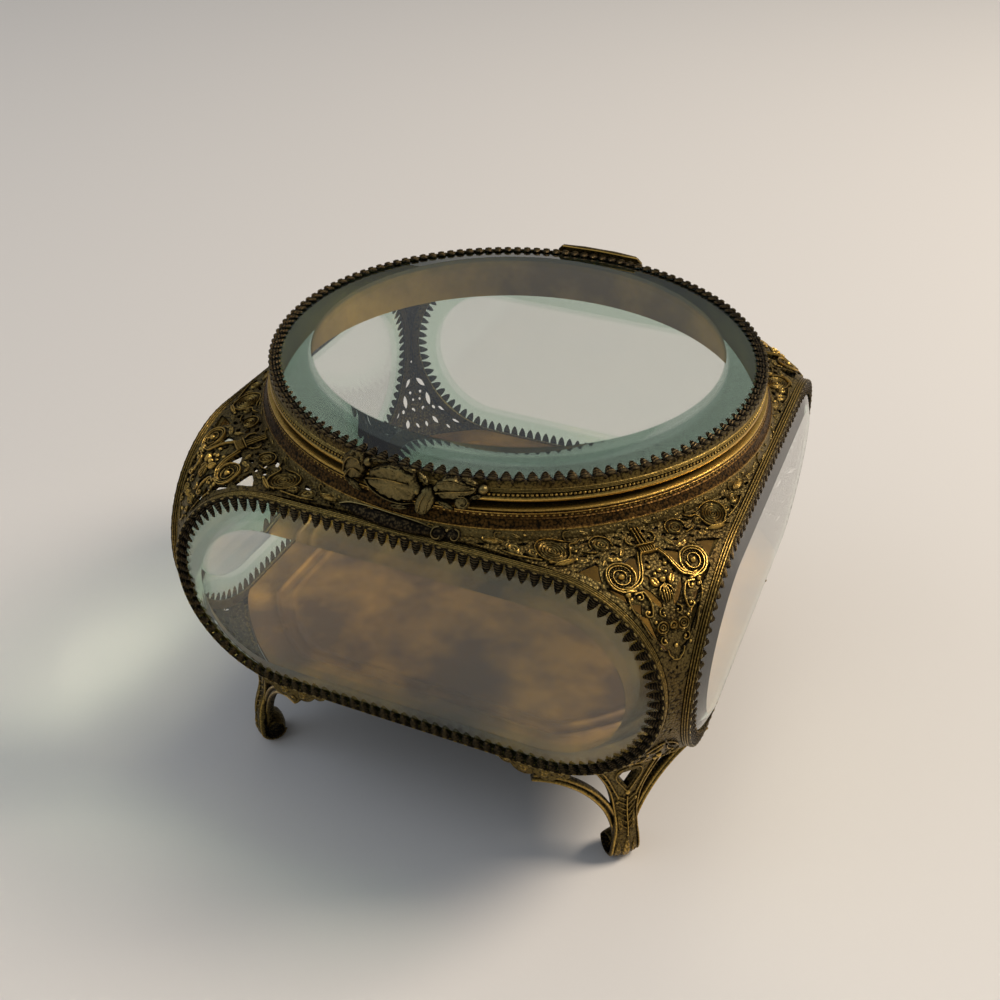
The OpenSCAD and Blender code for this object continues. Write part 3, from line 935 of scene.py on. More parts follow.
@dataclass
class SidePanels:
    """The four side panels: reeded channel, toothed strip and bevelled glass with round ends."""

    sizes: CasketSizes
    wall: float = 0.8
    lip: float = 2.0
    reed: float = 0.24
    reed_count: int = 3
    end_steps: int = 56
    bevel_w: float = 6.1
    bevel_drop: float = 2.0
    teeth: int = 112
    tooth: Tooth = field(default_factory=Tooth)

    def swept(self, name: str, section: Points) -> Piece:
        """Draws a section round the panel's outline by two spins and two straight runs.

        Args:
            name: Name of the new object.
            section: Points as distance from the centre line and distance outwards.

        Returns:
            The swept ring, on the front of the box.
        """
        s = self.sizes
        piece = wire(name, [(s.panel_straight, -out, s.panel_mid + r) for r, out in section])
        with editing(piece):
            for side in (1, -1):
                bpy.ops.mesh.spin(
                    steps=self.end_steps, angle=-math.pi,
                    center=(side * s.panel_straight * MM, 0, s.panel_mid * MM), axis=(0, 1, 0),
                )
                bpy.ops.mesh.extrude_region_move(
                    TRANSFORM_OT_translate={"value": (-side * 2 * s.panel_straight * MM, 0, 0)}
                )
        clean(piece, 2e-6)
        return piece

    def from_line(self, piece: Piece) -> Array:
        """Measures how far a piece's points lie from the line between the round ends.

        Args:
            piece: A mesh on the front of the box.

        Returns:
            One distance in millimetres for each vertex.
        """
        places = coordinates(piece) / MM
        over = np.abs(places[:, 0]) - self.sizes.panel_straight
        return np.hypot(np.maximum(over, 0), places[:, 2] - self.sizes.panel_mid)

    def channel(self) -> Piece:
        """Builds the brass channel, with fine reeds along the front of its outer wall.

        Returns:
            The channel on the front.
        """
        s = self.sizes
        r, rim, reed = s.panel_r, s.channel_rim, self.reed
        start = rim - 0.35 - 2 * reed * self.reed_count
        section = [(r - 0.02, s.channel_back), (r - 0.02, start - 0.25), (r - 0.2, start - 0.1)]
        for i in range(self.reed_count):
            low = start + 2 * reed * i
            section += [(r - 0.2, low), (r - 0.06, low + 0.5 * reed), (r, low + reed)]
            section.append((r - 0.06, low + 1.5 * reed))
        section += [(r - 0.2, rim - 0.33), (r - 0.1, rim - 0.2), (r - 0.25, rim - 0.05)]
        section += [(r - self.wall, rim - 0.15), (r - self.wall, s.glass_back)]
        section += [(r - self.lip, s.glass_back), (r - self.lip, s.channel_back)]
        piece = self.swept("side_channel", section)
        stands = (self.from_line(piece) - (r - 0.2)) / 0.2
        reeded = -coordinates(piece)[:, 1] / MM > start - 0.2
        paint_relief(piece, np.where(reeded, 0.12 + 0.6 * stands, 0.36))
        smooth(piece, 50)
        return piece

    def ring_places(self, count: int, r: float, out: float, tilt: float) -> list[Array]:
        """Places that follow the panel's outline, each facing its middle.

        Args:
            count: How many places.
            r: Their distance from the centre line.
            out: Their distance outwards from the middle of the box.
            tilt: Degrees by which the inner end stands out.

        Returns:
            A matrix for each place, with +Y inwards and +Z outwards.
        """
        s = self.sizes
        straight = 2 * s.panel_straight
        arc = math.pi * (s.panel_r - self.wall)
        places = []
        for i in range(count):
            run = (i + 0.5) / count * 2 * (straight + arc)
            half, run = divmod(run, straight + arc)
            if run < straight:
                centre = -s.panel_straight + run
                angle = 90.0
            else:
                centre = s.panel_straight
                angle = 90.0 - (run - straight) / arc * 180
            if half:
                centre = -centre
                angle += 180
            place = (
                Matrix.Translation(Vector((centre, -out, s.panel_mid)) * MM)
                @ Matrix.Rotation(math.radians(90 - angle), 4, "Y")
                @ Matrix.Translation(Vector((0, 0, r)) * MM)
                @ Matrix.Rotation(math.radians(90), 4, "X")
                @ Matrix.Rotation(math.radians(180), 4, "Z")
                @ Matrix.Rotation(math.radians(tilt), 4, "X")
            )
            places.append(np.array(place))
        return places

    def strip(self) -> Piece:
        """Builds the toothed strip: the folded leaves and a bead at the root of each.

        Returns:
            The strip on the front.
        """
        rim = self.sizes.channel_rim
        root_r = self.sizes.panel_r - 0.38
        slope = math.degrees(math.atan2(self.bevel_drop, self.bevel_w))
        tooth_places = self.ring_places(self.teeth, root_r, rim - 0.5, slope * 0.62)
        teeth = self.tooth.row("teeth", tooth_places)
        bead_places = self.ring_places(self.teeth, root_r, rim - 0.06, 0.0)
        beads = copies("root_beads", pearl((0.55, 0.17, 0.16)), bead_places)
        paint_relief(beads, 1.0)
        piece = join("toothed_strip", [teeth, beads])
        smooth(piece)
        return piece

    def glass(self) -> Piece:
        """Builds the side glass: a cylinder drawn out to round ends, with an inset bevel.

        Returns:
            The glass on the front.
        """
        s = self.sizes
        deselect_all()
        bpy.ops.mesh.primitive_cylinder_add(
            vertices=2 * self.end_steps, radius=s.glass_r * MM, depth=1.0 * MM
        )
        piece = named("side_glass")
        x, y, z = coordinates(piece).T
        depth = np.where(z > 0, self.bevel_drop - s.glass_face, -s.glass_back) * MM
        stretch = np.where(np.abs(x) > 1e-6, np.sign(x), 0.0) * s.panel_straight * MM
        set_coordinates(piece, np.column_stack([x + stretch, depth, y + s.panel_mid * MM]))
        clean(piece, 1e-6)
        inset_faces(piece, (0, -1, 0), [(self.bevel_w, self.bevel_drop), (0.4, 0.0)])
        inset_faces(piece, (0, 1, 0), [(self.bevel_w - 0.4, 0.0), (0.8, 0.0)])
        flat = self.from_line(piece) < s.glass_r - self.bevel_w - 0.2
        paint_relief(piece, np.where(flat, 1.0, 0.0))
        smooth(piece, 12)
        return piece

    def build(self) -> None:
        """Builds the four panels and dresses them."""
        finish_round(self.channel(), "channel", Finish.ANTIQUE, "frame", Side)
        finish_round(self.strip(), "toothed_strip", Finish.DARK, "gallery", Side)
        finish_round(self.glass(), "bevelled_pane", Finish.GLASS, "glass", Side)


class Sheet:
    """A curved surface of the casket, unrolled to a flat sheet.

    On the sheet, p runs across from the middle line, q runs up along the surface, and h is
    the height above it. The middle line lies over +X.
    """

    def __init__(self, profile: Array, level: float) -> None:
        """Measures the runs along a profile.

        Args:
            profile: Radius and height of the surface, from its lower end.
            level: Height at which q is nought.
        """
        self.r, self.z = np.asarray(profile, dtype=float).T
        run = np.append(0, np.cumsum(np.hypot(np.diff(self.r), np.diff(self.z))))
        first = int(np.argmax(self.z >= level)) if self.z[0] < level else 0
        upper = np.flatnonzero(self.z <= level)
        last = int(upper[-1]) if len(upper) else first
        share = 0.0
        if last + 1 < len(self.z):
            share = (level - self.z[last]) / max(self.z[last + 1] - self.z[last], 1e-9)
            base = run[last] + share * (run[last + 1] - run[last])
        else:
            base = run[last]
        self.q = run - base
        way_r = np.gradient(self.r, self.q)
        way_z = np.gradient(self.z, self.q)
        size = np.hypot(way_r, way_z)
        self.out_r = way_z / size
        self.out_z = -way_r / size

    def place(self, points: Array) -> Array:
        """Wraps flat places onto the surface.

        Args:
            points: Columns p, q and h in millimetres.

        Returns:
            Columns x, y and z in millimetres.
        """
        q = points[:, 1]
        base = np.interp(q, self.q, self.r)
        r = base + points[:, 2] * np.interp(q, self.q, self.out_r)
        z = np.interp(q, self.q, self.z) + points[:, 2] * np.interp(q, self.q, self.out_z)
        turn = points[:, 0] / base
        return np.stack([r * np.cos(turn), r * np.sin(turn), z], axis=1)

    def wrap(self, piece: Piece) -> None:
        """Wraps a flat mesh onto the surface and turns its faces outwards.

        Args:
            piece: A mesh whose x, y and z are p, q and h in metres.
        """
        set_coordinates(piece, self.place(coordinates(piece) / MM) * MM)
        clean(piece)


class CornerSheet(Sheet):
    """The corner plates' surface: a curve that meets the panels' round ends, and a flange."""

    def __init__(self, sizes: CasketSizes) -> None:
        """Samples the profile.

        Args:
            sizes: The casket's sizes.
        """
        self.plane = sizes.plate_plane
        angles = np.radians(np.linspace(-END_ANGLE, END_ANGLE, 173))
        reach = sizes.panel_straight + sizes.panel_r * np.cos(angles)
        r = np.hypot(self.plane, reach)
        z = sizes.panel_mid + sizes.panel_r * np.sin(angles)
        flange = np.linspace(0, 1, 20)[1:]
        r = np.append(r, r[-1] + flange * (sizes.collar_r - 0.5 - r[-1]))
        z = np.append(z, z[-1] + flange * (sizes.collar_foot + 1.35 - z[-1]))
        super().__init__(np.column_stack([r, z]), sizes.panel_mid)

    def half(self, q: float, gap: float) -> float:
        """Gives the half width of the plate.

        Args:
            q: Place along the sheet.
            gap: How far the edge stays inside the panel's outline.

        Returns:
            The largest p there.
        """
        r = float(np.interp(q, self.q, self.r))
        reach = math.sqrt(max(r * r - self.plane**2, 0))
        turn = math.pi / 4 - math.atan2(reach, self.plane)
        return max(min(turn, math.radians(38)) * r - gap, 0.3)


def leaf_outline(
    p: float, q: float, length: float, width: float, turn: float = 90.0
) -> list[Point]:
    """Gives the outline of a pointed leaf on the sheet.

    Args:
        p: Place of its middle across.
        q: Place of its middle along.
        length: Its length.
        width: Its width.
        turn: The way it points, in degrees.

    Returns:
        Points of p and q.
    """
    cos, sin = math.cos(math.radians(turn)), math.sin(math.radians(turn))
    points = []
    for side in (1, -1):
        for share in np.arange(LEAF_STEPS) / LEAF_STEPS:
            x = side * (0.5 - share) * length
            y = side * width / 2 * math.sin(math.pi * share) ** 0.8 if share else 0.0
            points.append((p + x * cos - y * sin, q + x * sin + y * cos))
    return points


# Raised work, drawn on an unrolled sheet before it is wrapped round the casket


def slab(name: str, points: Points, low: float, high: float) -> Piece:
    """Makes a flat slab from an outline.

    Args:
        name: Name of the new object.
        points: The outline's points of p and q.
        low: Height of the underside.
        high: Height of the top.

    Returns:
        The slab.
    """
    deselect_all()
    bpy.ops.mesh.primitive_circle_add(vertices=len(points), radius=MM, fill_type="NGON")
    piece = named(name)
    set_coordinates(piece, np.array([(p, q, low) for p, q in points]) * MM)
    rise = (0, 0, (high - low) * MM)
    with editing(piece):
        bpy.ops.mesh.extrude_region_move(TRANSFORM_OT_translate={"value": rise})
        bpy.ops.mesh.select_all(action="SELECT")
        bpy.ops.mesh.normals_make_consistent(inside=False)
    return piece


def divide(piece: Piece, across: float, along: float) -> None:
    """Bisects a flat piece at even steps, so that it can bend.

    Args:
        piece: A flat mesh.
        across: Step in p.
        along: Step in q.
    """
    places = coordinates(piece) / MM
    with editing(piece):
        for axis, step, way in ((1, along, (0, 1, 0)), (0, across, (1, 0, 0))):
            low, high = places[:, axis].min(), places[:, axis].max()
            for value in np.arange(low + step / 2, high, step):
                bpy.ops.mesh.select_all(action="SELECT")
                point = tuple(value * MM * part for part in way)
                bpy.ops.mesh.bisect(plane_co=point, plane_no=way)
        bpy.ops.mesh.select_all(action="SELECT")
        bpy.ops.mesh.remove_doubles(threshold=1e-7)


def ridge(points: Points, width: float, rise: float, fade: bool = True) -> Piece:
    """Raises a rounded ridge along a smooth line on the sheet.

    Args:
        points: Points of p and q that the line runs through.
        width: Width of the ridge.
        rise: Its height.
        fade: Whether it thins out towards its end.

    Returns:
        The flat ridge.
    """
    line = smooth_line(points, 4)
    way = np.gradient(line, axis=0)
    way /= np.linalg.norm(way, axis=1)[:, None]
    across = np.stack([-way[:, 1], way[:, 0]], axis=1)
    share = np.linspace(0, 1, len(line))
    size = np.where(share > 0.8, 1 - 0.6 * (share - 0.8) / 0.2, 1.0) if fade else 1 + 0 * share
    half = [(-0.5, -0.15), (-0.4, 0.5), (-0.16, 0.95)]
    profile = np.array(half + [(-over, up) for over, up in reversed(half)])
    net, over, along = grid("ridge", len(profile), len(line) - 1)
    part = pick(profile, over, closed=True) * pick(size, along)[:, None]
    flat = pick(line, along) + part[:, :1] * width * pick(across, along)
    return bend(net, np.column_stack([flat, part[:, 1] * rise]), capped=True)


def bead(p: float, q: float, r: float, rise: float = 0.8) -> Piece:
    """Raises a round bead on the sheet.

    Args:
        p: Place across.
        q: Place along.
        r: Radius.
        rise: Height as a share of the radius.

    Returns:
        The flat bead.
    """
    deselect_all()
    bpy.ops.mesh.primitive_uv_sphere_add(segments=10, ring_count=6, radius=r * MM)
    piece = named("bead")
    places = coordinates(piece) * np.array([1, 1, rise]) + np.array([p, q, 0.05]) * MM
    set_coordinates(piece, places)
    return piece


def blade(
    p: float, q: float, length: float, width: float, turn: float, rise: float, ribs: int = 0
) -> Piece:
    """Raises a pointed leaf with a sunk midrib on the sheet.

    Args:
        p: Place of its middle across.
        q: Place of its middle along.
        length: Its length.
        width: Its width.
        turn: The way it points, in degrees.
        rise: Its height.
        ribs: Slanted side ribs, or none.

    Returns:
        The flat leaf.
    """
    cos, sin = math.cos(math.radians(turn)), math.sin(math.radians(turn))
    net, across, along = grid("blade", 8, max(8, 4 * ribs))
    v = across * 2 - 1
    spread = np.sin(math.pi * along) ** 0.8
    x = (along - 0.5) * length
    y = v * width / 2 * spread
    crown = (1 - np.abs(v) ** 3) * (1 - VEIN * np.exp(-((v / 0.25) ** 2)))
    if ribs:
        crown = crown * (0.78 + 0.22 * np.cos(math.tau * ribs * (along - 0.12 * np.abs(v))))
    h = rise * crown * np.minimum(1, 4 * along * (1 - along) + 0.25) - 0.08
    return bend(net, np.column_stack([p + x * cos - y * sin, q + x * sin + y * cos, h]))


def rosette(p: float, q: float, r: float, rings: int, rise: float) -> Piece:
    """Raises a rosette of concentric rings on the sheet.

    Args:
        p: Place across.
        q: Place along.
        r: Outer radius.
        rings: Number of rings.
        rise: Height of a ring.

    Returns:
        The flat rosette.
    """
    waves = 4 * rings
    net, around, outward = grid("rosette", 20, waves)
    angle = around * math.tau
    reach = r * outward
    ring = 0.5 - 0.5 * np.cos(outward * rings * math.tau + math.pi)
    h = rise * (0.3 + 0.7 * ring) * np.minimum(1, (1 - outward) * waves) - 0.06
    return bend(net, np.column_stack([p + reach * np.cos(angle), q + reach * np.sin(angle), h]))


def dome(
    points: Points, rise: float, depth: float = 0.9, rim: float = 0.0, lobes: int = 0
) -> Piece:
    """Raises a domed shape with a thick edge on the sheet.

    Args:
        points: Points of p and q on its outline.
        rise: Height of its middle above its edge.
        depth: How far its edge goes down.
        rim: Height of a rolled rim.
        lobes: Number of flutes that run in from its edge.

    Returns:
        The flat dome.
    """
    edge = smooth_line([points[-1], *points, points[0], points[1]], 5)[5 : 5 + 5 * len(points)]
    centre = edge.mean(axis=0)
    turns = np.arctan2(edge[:, 1] - centre[1], edge[:, 0] - centre[0])
    wave = 0.5 - 0.5 * np.cos(lobes * turns) if lobes else np.zeros(len(edge))
    edge = centre + (edge - centre) * (1 - 0.09 * wave)[:, None]
    rings = 8
    net, around, outward = grid("dome", len(edge), rings)
    index = np.rint(around * len(edge)).astype(int) % len(edge)
    row = np.rint(outward * rings)
    share = np.minimum(row / (rings - 1), 1.0)
    crown = np.sqrt(np.maximum(1 - share**2, 0))
    lip = rim * np.exp(-(((share - 0.86) / 0.09) ** 2))
    crown = crown * (1 - 0.35 * wave[index] * share)
    h = np.where(row == rings, -depth, rise * crown + lip)
    places = np.column_stack([centre + (edge[index] - centre) * share[:, None], h])
    return bend(net, places, capped=True)


def disc_outline(p: float, q: float, r: float) -> list[Point]:
    """Gives the outline of a disc.

    Args:
        p: Place across.
        q: Place along.
        r: Radius.

    Returns:
        Points of p and q.
    """
    angles = [math.tau * i / DISC_STEPS for i in range(DISC_STEPS)]
    return [(p + r * math.cos(a), q + r * math.sin(a)) for a in angles]


def coil(centre: Point, start: float, radii: Sequence[float], hand: int) -> list[Point]:
    """Gives points on a spiral, eight to a turn.

    Args:
        centre: Middle of the spiral.
        start: Direction of the first point in degrees.
        radii: Distance of each point from the middle.
        hand: 1 to turn anticlockwise, -1 clockwise.

    Returns:
        Points of p and q.
    """
    points = []
    for i, r in enumerate(radii):
        angle = math.radians(start + hand * 45 * i)
        points.append((centre[0] + r * math.cos(angle), centre[1] + r * math.sin(angle)))
    return points


def roped_ring(p: float, q: float, r: float, count: int, size: float) -> Piece:
    """Lays small beads in a ring, like a twisted cord.

    Args:
        p: Middle of the ring across.
        q: Middle of the ring along.
        r: Radius of the ring.
        count: Number of beads.
        size: Radius of a bead.

    Returns:
        The flat beads, as one piece.
    """
    places = []
    for i in range(count):
        turn = math.tau * i / count
        spot = Vector((p + r * math.cos(turn), q + r * math.sin(turn), 0.12)) * MM
        slant = Matrix.Rotation(turn + math.radians(25), 4, "Z")
        places.append(np.array(Matrix.Translation(spot) @ slant))
    return copies("roped_ring", pearl((1.25 * size, 0.75 * size, 0.9 * size)), places)


@dataclass
class CornerFiligree:
    """The four pierced corners: a cut plate with scrolls, leaves and rosettes raised on it."""

    sizes: CasketSizes
    thickness: float = 0.75
    edge_gap: float = 0.15
    cell: float = 1.0
    volute: Point = (7.05, 26.5)

    def openings(self) -> list[list[Point]]:
        """Lists the openings on the right half of the sheet.

        Returns:
            Closed outlines of p and q.
        """
        shapes = [
            [(14.6, 28.5), (12.6, 29.6), (10, 30.4), (9.7, 29.9), (10.2, 28.6), (10.5, 27.2)]
            + [(10.6, 25.9), (11.4, 26.4), (12.8, 27.5)],
            [
                (2.65, 30.6), (3, 28.7), (3.5, 26.8), (4.5, 24.8), (5.4, 24.5), (4.8, 26.3),
                (4.8, 27.9), (5.6, 29.4), (4.8, 30), (3.6, 30.6),
            ],
            [(4, 24.5), (2.4, 22.9), (1.1, 20.8), (1.05, 19.5), (2.5, 20.8), (3.6, 22.6)],
            [(10.3, 25.2), (8.9, 24.3), (7.4, 23.2), (7.2, 21.7), (8.9, 23.2), (10.3, 24.6)],
            [(7.1, 21.6), (4.9, 21.1), (5.3, 19.2), (6.4, 20.5)],
            [(5.9, 19.4), (4.1, 18.5), (3.6, 16.3), (2.9, 13.9), (4.6, 16.4), (5.7, 18.3)],
            [(0.75, 11.4), (2.6, 12.6), (3.2, 14), (1.9, 13)],
        ]
        small: list[Point] = [
            (1.4, 28.4, 1.2, 0.9), (2.5, 25.6, 1.3, 0.9, 60), (1.5, 33.6, 1.4, 0.8, 60),
            (1.35, 35.6, 1.1, 0.8, 70), (2.6, 36.4, 1, 0.7, 20), (3.9, 35.3, 1.9, 1, 35),
            (4.6, 33.5, 1.6, 1, 50), (6.2, 31.7, 1.5, 1.1, 20), (6.1, 36.3, 1.3, 0.8, 10),
            (9.2, 33.3, 2, 1, 150), (9.4, 31.4, 1.8, 1, 160), (9.9, 35.4, 2.8, 1, 160),
            (11.5, 32.2, 1.7, 1.1, 170), (14, 32.7, 1.4, 1, 100), (17.6, 30.7, 2.2, 0.9, 175),
            (20.8, 35.8, 2.3, 0.8, 170), (21.3, 33.2, 1.2, 1, 90), (24.6, 34.2, 1.3, 0.8, 170),
            (28.4, 35.4, 1.8, 0.7, 175), (1.95, -12.4, 3.5, 1.25, 131), (3.3, -17.3, 4, 1.3, 94),
            (1.45, -15, 1, 0.9), (0.95, -17, 0.9, 0.8), (1.4, -19.8, 1.5, 1, 60),
            (4.4, -19.9, 1.4, 0.9, 120), (6.5, -20.6, 2.3, 1, 140), (4, -23.6, 2.9, 1.2, 110),
            (1.3, -24.4, 2, 0.9, 80), (9.6, -24.8, 2.7, 1.1, 140), (7, -26.2, 1.9, 0.9, 100),
            (0, 8.6, 0.9, 0.5), (0, -6.4, 1, 0.6),
        ]
        return shapes + [leaf_outline(*row) for row in small]

    def plate(self, sheet: CornerSheet) -> Piece:
        """Cuts the openings out of a flat plate and divides it so that it can bend.

        Args:
            sheet: The unrolled corner.

        Returns:
            The flat plate.
        """
        rows = np.append(np.arange(sheet.q[0], 29.5, 1.2), np.linspace(29.6, sheet.q[-1], 14))
        right = [(sheet.half(q, self.edge_gap), float(q)) for q in rows]
        outline = right + [(-p, q) for p, q in reversed(right)]
        flat = slab("filigree_plate", outline, -self.thickness, 0.0)
        cutters = []
        for shape in self.openings():
            for side in (1, -1) if max(p for p, _ in shape) > 0.6 else (1,):
                points = [(side * p, q) for p, q in shape]
                cutters.append(slab("opening", points, -3.0, 3.0))
        cut(flat, join("openings", cutters))
        divide(flat, self.cell, self.cell)
        return flat

    def volutes(self) -> list[Piece]:
        """Builds the scroll that springs from the tied bar and coils beside the frame.

        Returns:
            Flat pieces on the right half.
        """
        eye = self.volute
        rim = [2.95, 2.8, 2.7, 2.66, 2.64, 2.62, 2.6, 2.56, 2.5, 2.42]
        stem = [(1.5, 30.7), (2.35, 28.9), (2.95, 27), (3.85, 25.1)]
        outer = stem + coil(eye, 225, rim, 1)
        second = [(2.1, 30.8), (2.85, 28.8), (3.4, 27.1), (4.2, 25.5)]
        second += coil(eye, 225, [r - 0.45 for r in rim[:8]], 1)
        inner = coil(eye, 180, [1.6, 1.55, 1.5, 1.45, 1.4, 1.35, 1.25, 1.15, 1, 0.85], 1)
        return [
            ridge(outer, 0.42, 0.62), ridge(second, 0.3, 0.5), roped_ring(*eye, 1.83, 22, 0.17),
            ridge(inner, 0.28, 0.42), bead(*eye, 0.62, 1.35),
            blade(6.3, 24.05, 2.4, 1.5, 20, 0.8), bead(6.9, 23.2, 0.55, 1.1),
            bead(5.5, 23.6, 0.42, 1.1),
        ]

    def palmette(self) -> list[Piece]:
        """Builds the buds and the fan of leaves between the volutes.

        Returns:
            Flat pieces on the right half.
        """
        return [
            bead(1.6, 27.35, 0.45, 1.1), bead(1.05, 25.9, 0.4, 1.1),
            blade(1.6, 24.5, 2.3, 1.7, 60, 1),
            ridge([(0.25, 23.7), (0.95, 23.3), (1.45, 22)], 0.36, 0.6),
            ridge([(0.15, 23.7), (0.5, 22.4), (0.35, 20.6)], 0.32, 0.55),
            ridge([(0.9, 22.6), (1, 21.6), (0.8, 20.9)], 0.26, 0.4),
            ridge(
                coil((5.2, 22.4), 270, [0.3, 0.55, 0.75, 0.85, 0.9, 0.95], -1)
                + [(4.3, 23.25), (3.65, 22.4), (3.25, 21.2), (3.3, 20)]
                + coil((4.1, 19.6), 225, [0.8, 0.75, 0.7, 0.6, 0.45, 0.3], 1), 0.4, 0.55,
            ),
            bead(5.2, 22.4, 0.42, 1.2), bead(4.1, 19.6, 0.38, 1.2), bead(6.6, 22.3, 0.42, 1),
            bead(7.2, 21, 0.34, 1),
            ridge([(7, 23.1), (7, 21.6), (6.7, 20.3), (5.9, 18.7)], 0.34, 0.4),
            ridge([(5.7, 18.4), (5, 16.6), (4.1, 14.7)], 0.3, 0.36), rosette(2, 16.5, 1.5, 3, 0.5),
            ridge(coil((1.35, 19), 90, [0.95, 0.88, 0.8, 0.66, 0.5, 0.3], -1), 0.32, 0.5),
            bead(1.35, 19, 0.3, 1.1),
            ridge(coil((2, 14.2), 60, [0.85, 0.8, 0.75, 0.65, 0.5, 0.3], -1), 0.32, 0.5),
            bead(2, 14.2, 0.34, 1.2), bead(3.15, 17.7, 0.38, 1.1), bead(2.9, 12.9, 0.32, 1),
            ridge([(1.6, 12.4), (1.3, 11.3), (0.4, 10.5)], 0.32, 0.4),
        ]

    def frieze(self) -> list[Piece]:
        """Builds the leaves, scrolls and rosettes under the collar.

        Returns:
            Flat pieces on the right half.
        """
        return [
            ridge([(0.62, 36.6), (0.62, 34.4), (0.75, 32.5)], 0.3, 0.45, fade=False),
            ridge([(2, 32.6), (2.7, 33.4), (2.7, 34.6), (1.9, 35.2)], 0.34, 0.4),
            blade(6.7, 30.3, 3.6, 1.5, 10, 0.6, 3), blade(4.7, 31.6, 2.6, 1.1, 120, 0.5),
            blade(15.2, 30.9, 4.6, 1.3, 168, 0.75), bead(13.1, 31.4, 0.4, 1),
            blade(12, 30.9, 2.8, 1.2, 175, 0.45, 3),
            blade(8.6, 29.9, 2.2, 0.9, 130, 0.4), rosette(7.4, 34.2, 1.7, 3, 0.45),
            rosette(16.4, 33.8, 2.7, 5, 0.45), rosette(19.9, 33.6, 1.3, 2, 0.45),
            rosette(22.9, 34.6, 1.5, 2, 0.45), rosette(12.6, 33.9, 1.1, 2, 0.4),
            ridge(
                coil((16.4, 33.8), 290, [2.8, 2.85, 2.9, 2.9, 2.9], 1)
                + [(14, 36), (12.4, 35.8)], 0.32, 0.5,
            ),
            ridge(
                coil((16.4, 33.8), 300, [3.05, 3, 3], -1)
                + [(12.9, 34.9), (11.6, 35.2), (10.3, 36.4)], 0.34, 0.5,
            ),
            ridge(coil((7.4, 34.2), 200, [1.95, 1.95, 1.95, 2, 2.1, 2.3], -1), 0.3, 0.42),
            ridge([(8.9, 32.4), (10.2, 32.6), (11.4, 33.2)], 0.3, 0.4),
            ridge([(19, 31.7), (21, 32.3), (23.4, 33.1), (25.6, 34.4)], 0.4, 0.4),
            dome([(24, 36), (25.6, 37), (27.6, 36.9), (28, 36.2), (26.2, 35.4)], 0.35, 0.1, 0.2),
            blade(30.6, 36.3, 3.2, 0.9, 175, 0.35, 3),
        ]

    def lower(self) -> list[Piece]:
        """Builds the ornament of the waist and of the rosette under it.

        Returns:
            Flat pieces on the right half.
        """
        return [
            ridge([(0.3, -10.2), (1.4, -10.8), (2.75, -12.2), (3.6, -14)], 0.36, 0.42),
            ridge([(0.4, -11.6), (1.1, -13.3), (2.3, -14.4)], 0.34, 0.42),
            rosette(2.2, -20.9, 1.3, 3, 0.45),
            ridge([(4.1, -15.3), (4.25, -17.3), (3.6, -19.8)], 0.32, 0.42),
            ridge([(2.5, -15.6), (2.45, -17.4), (2.8, -19.6)], 0.32, 0.42),
            bead(2.6, -14.9, 0.36, 1), blade(5.4, -21.9, 4, 1.5, 135, 0.5, 3),
            blade(8.4, -22.9, 3.2, 1.3, 130, 0.5, 3),
            blade(2.7, -26.6, 4.2, 1.5, 110, 0.5, 3), rosette(12.3, -27, 1.7, 3, 0.45),
            rosette(5.7, -27.4, 1.2, 2, 0.45),
            ridge([(7, -23.6), (8.2, -25), (9.6, -27.6)], 0.34, 0.42),
            ridge([(10.4, -25), (12.4, -25.4), (14.2, -27)], 0.34, 0.42),
        ]

    def middle(self) -> list[Piece]:
        """Builds the raised ornament that lies on the middle line.

        Returns:
            Flat pieces.
        """
        pieces = [
            bead(0, 26.4, 0.5, 1.2), bead(0, 24.7, 0.65, 1.3),
            ridge([(0, 23.9), (0, 22.4), (0, 20.8)], 0.4, 0.65),
            rosette(0, 16.6, 1.1, 2, 0.7), bead(0, 12.9, 0.45, 1.1),
            ridge([(0, 36.6), (0, 34.4), (0, 32.5)], 0.34, 0.5, fade=False),
            bead(0, -15.8, 0.62, 1.1), bead(0, -18.4, 0.5, 1.1),
            blade(0, -22.4, 4.6, 2, 90, 0.6, 4),
            ridge([(-1.6, 11.9), (-0.8, 10.6), (0, 10.2), (0.8, 10.6), (1.6, 11.9)], 0.3, 0.36),
        ]
        for i in range(-3, 4):
            pieces.append(ridge([(0.44 * i, 30.4), (0.44 * i, 31.2), (0.44 * i, 32.1)], 0.3, 0.7))
        for q in (30.3, 32.15):
            pieces.append(ridge([(-1.75, q), (0, q), (1.75, q)], 0.36, 0.8, fade=False))
        return pieces

    def build(self) -> None:
        """Builds the four corners and dresses them."""
        sheet = CornerSheet(self.sizes)
        right = join(
            "ornament_right", [*self.volutes(), *self.palmette(), *self.frieze(), *self.lower()]
        )
        left = mirrored("ornament_left", right, 0)
        plate = self.plate(sheet)
        piece = join("filigree", [plate, right, left, *self.middle()])
        height = coordinates(piece)[:, 2] / MM
        paint_relief(piece, np.where(height < -0.02, 0.0, 0.32 + 1.35 * height))
        sheet.wrap(piece)
        smooth(piece)
        finish_round(piece, "filigree", Finish.FILIGREE, "corner", Corner)


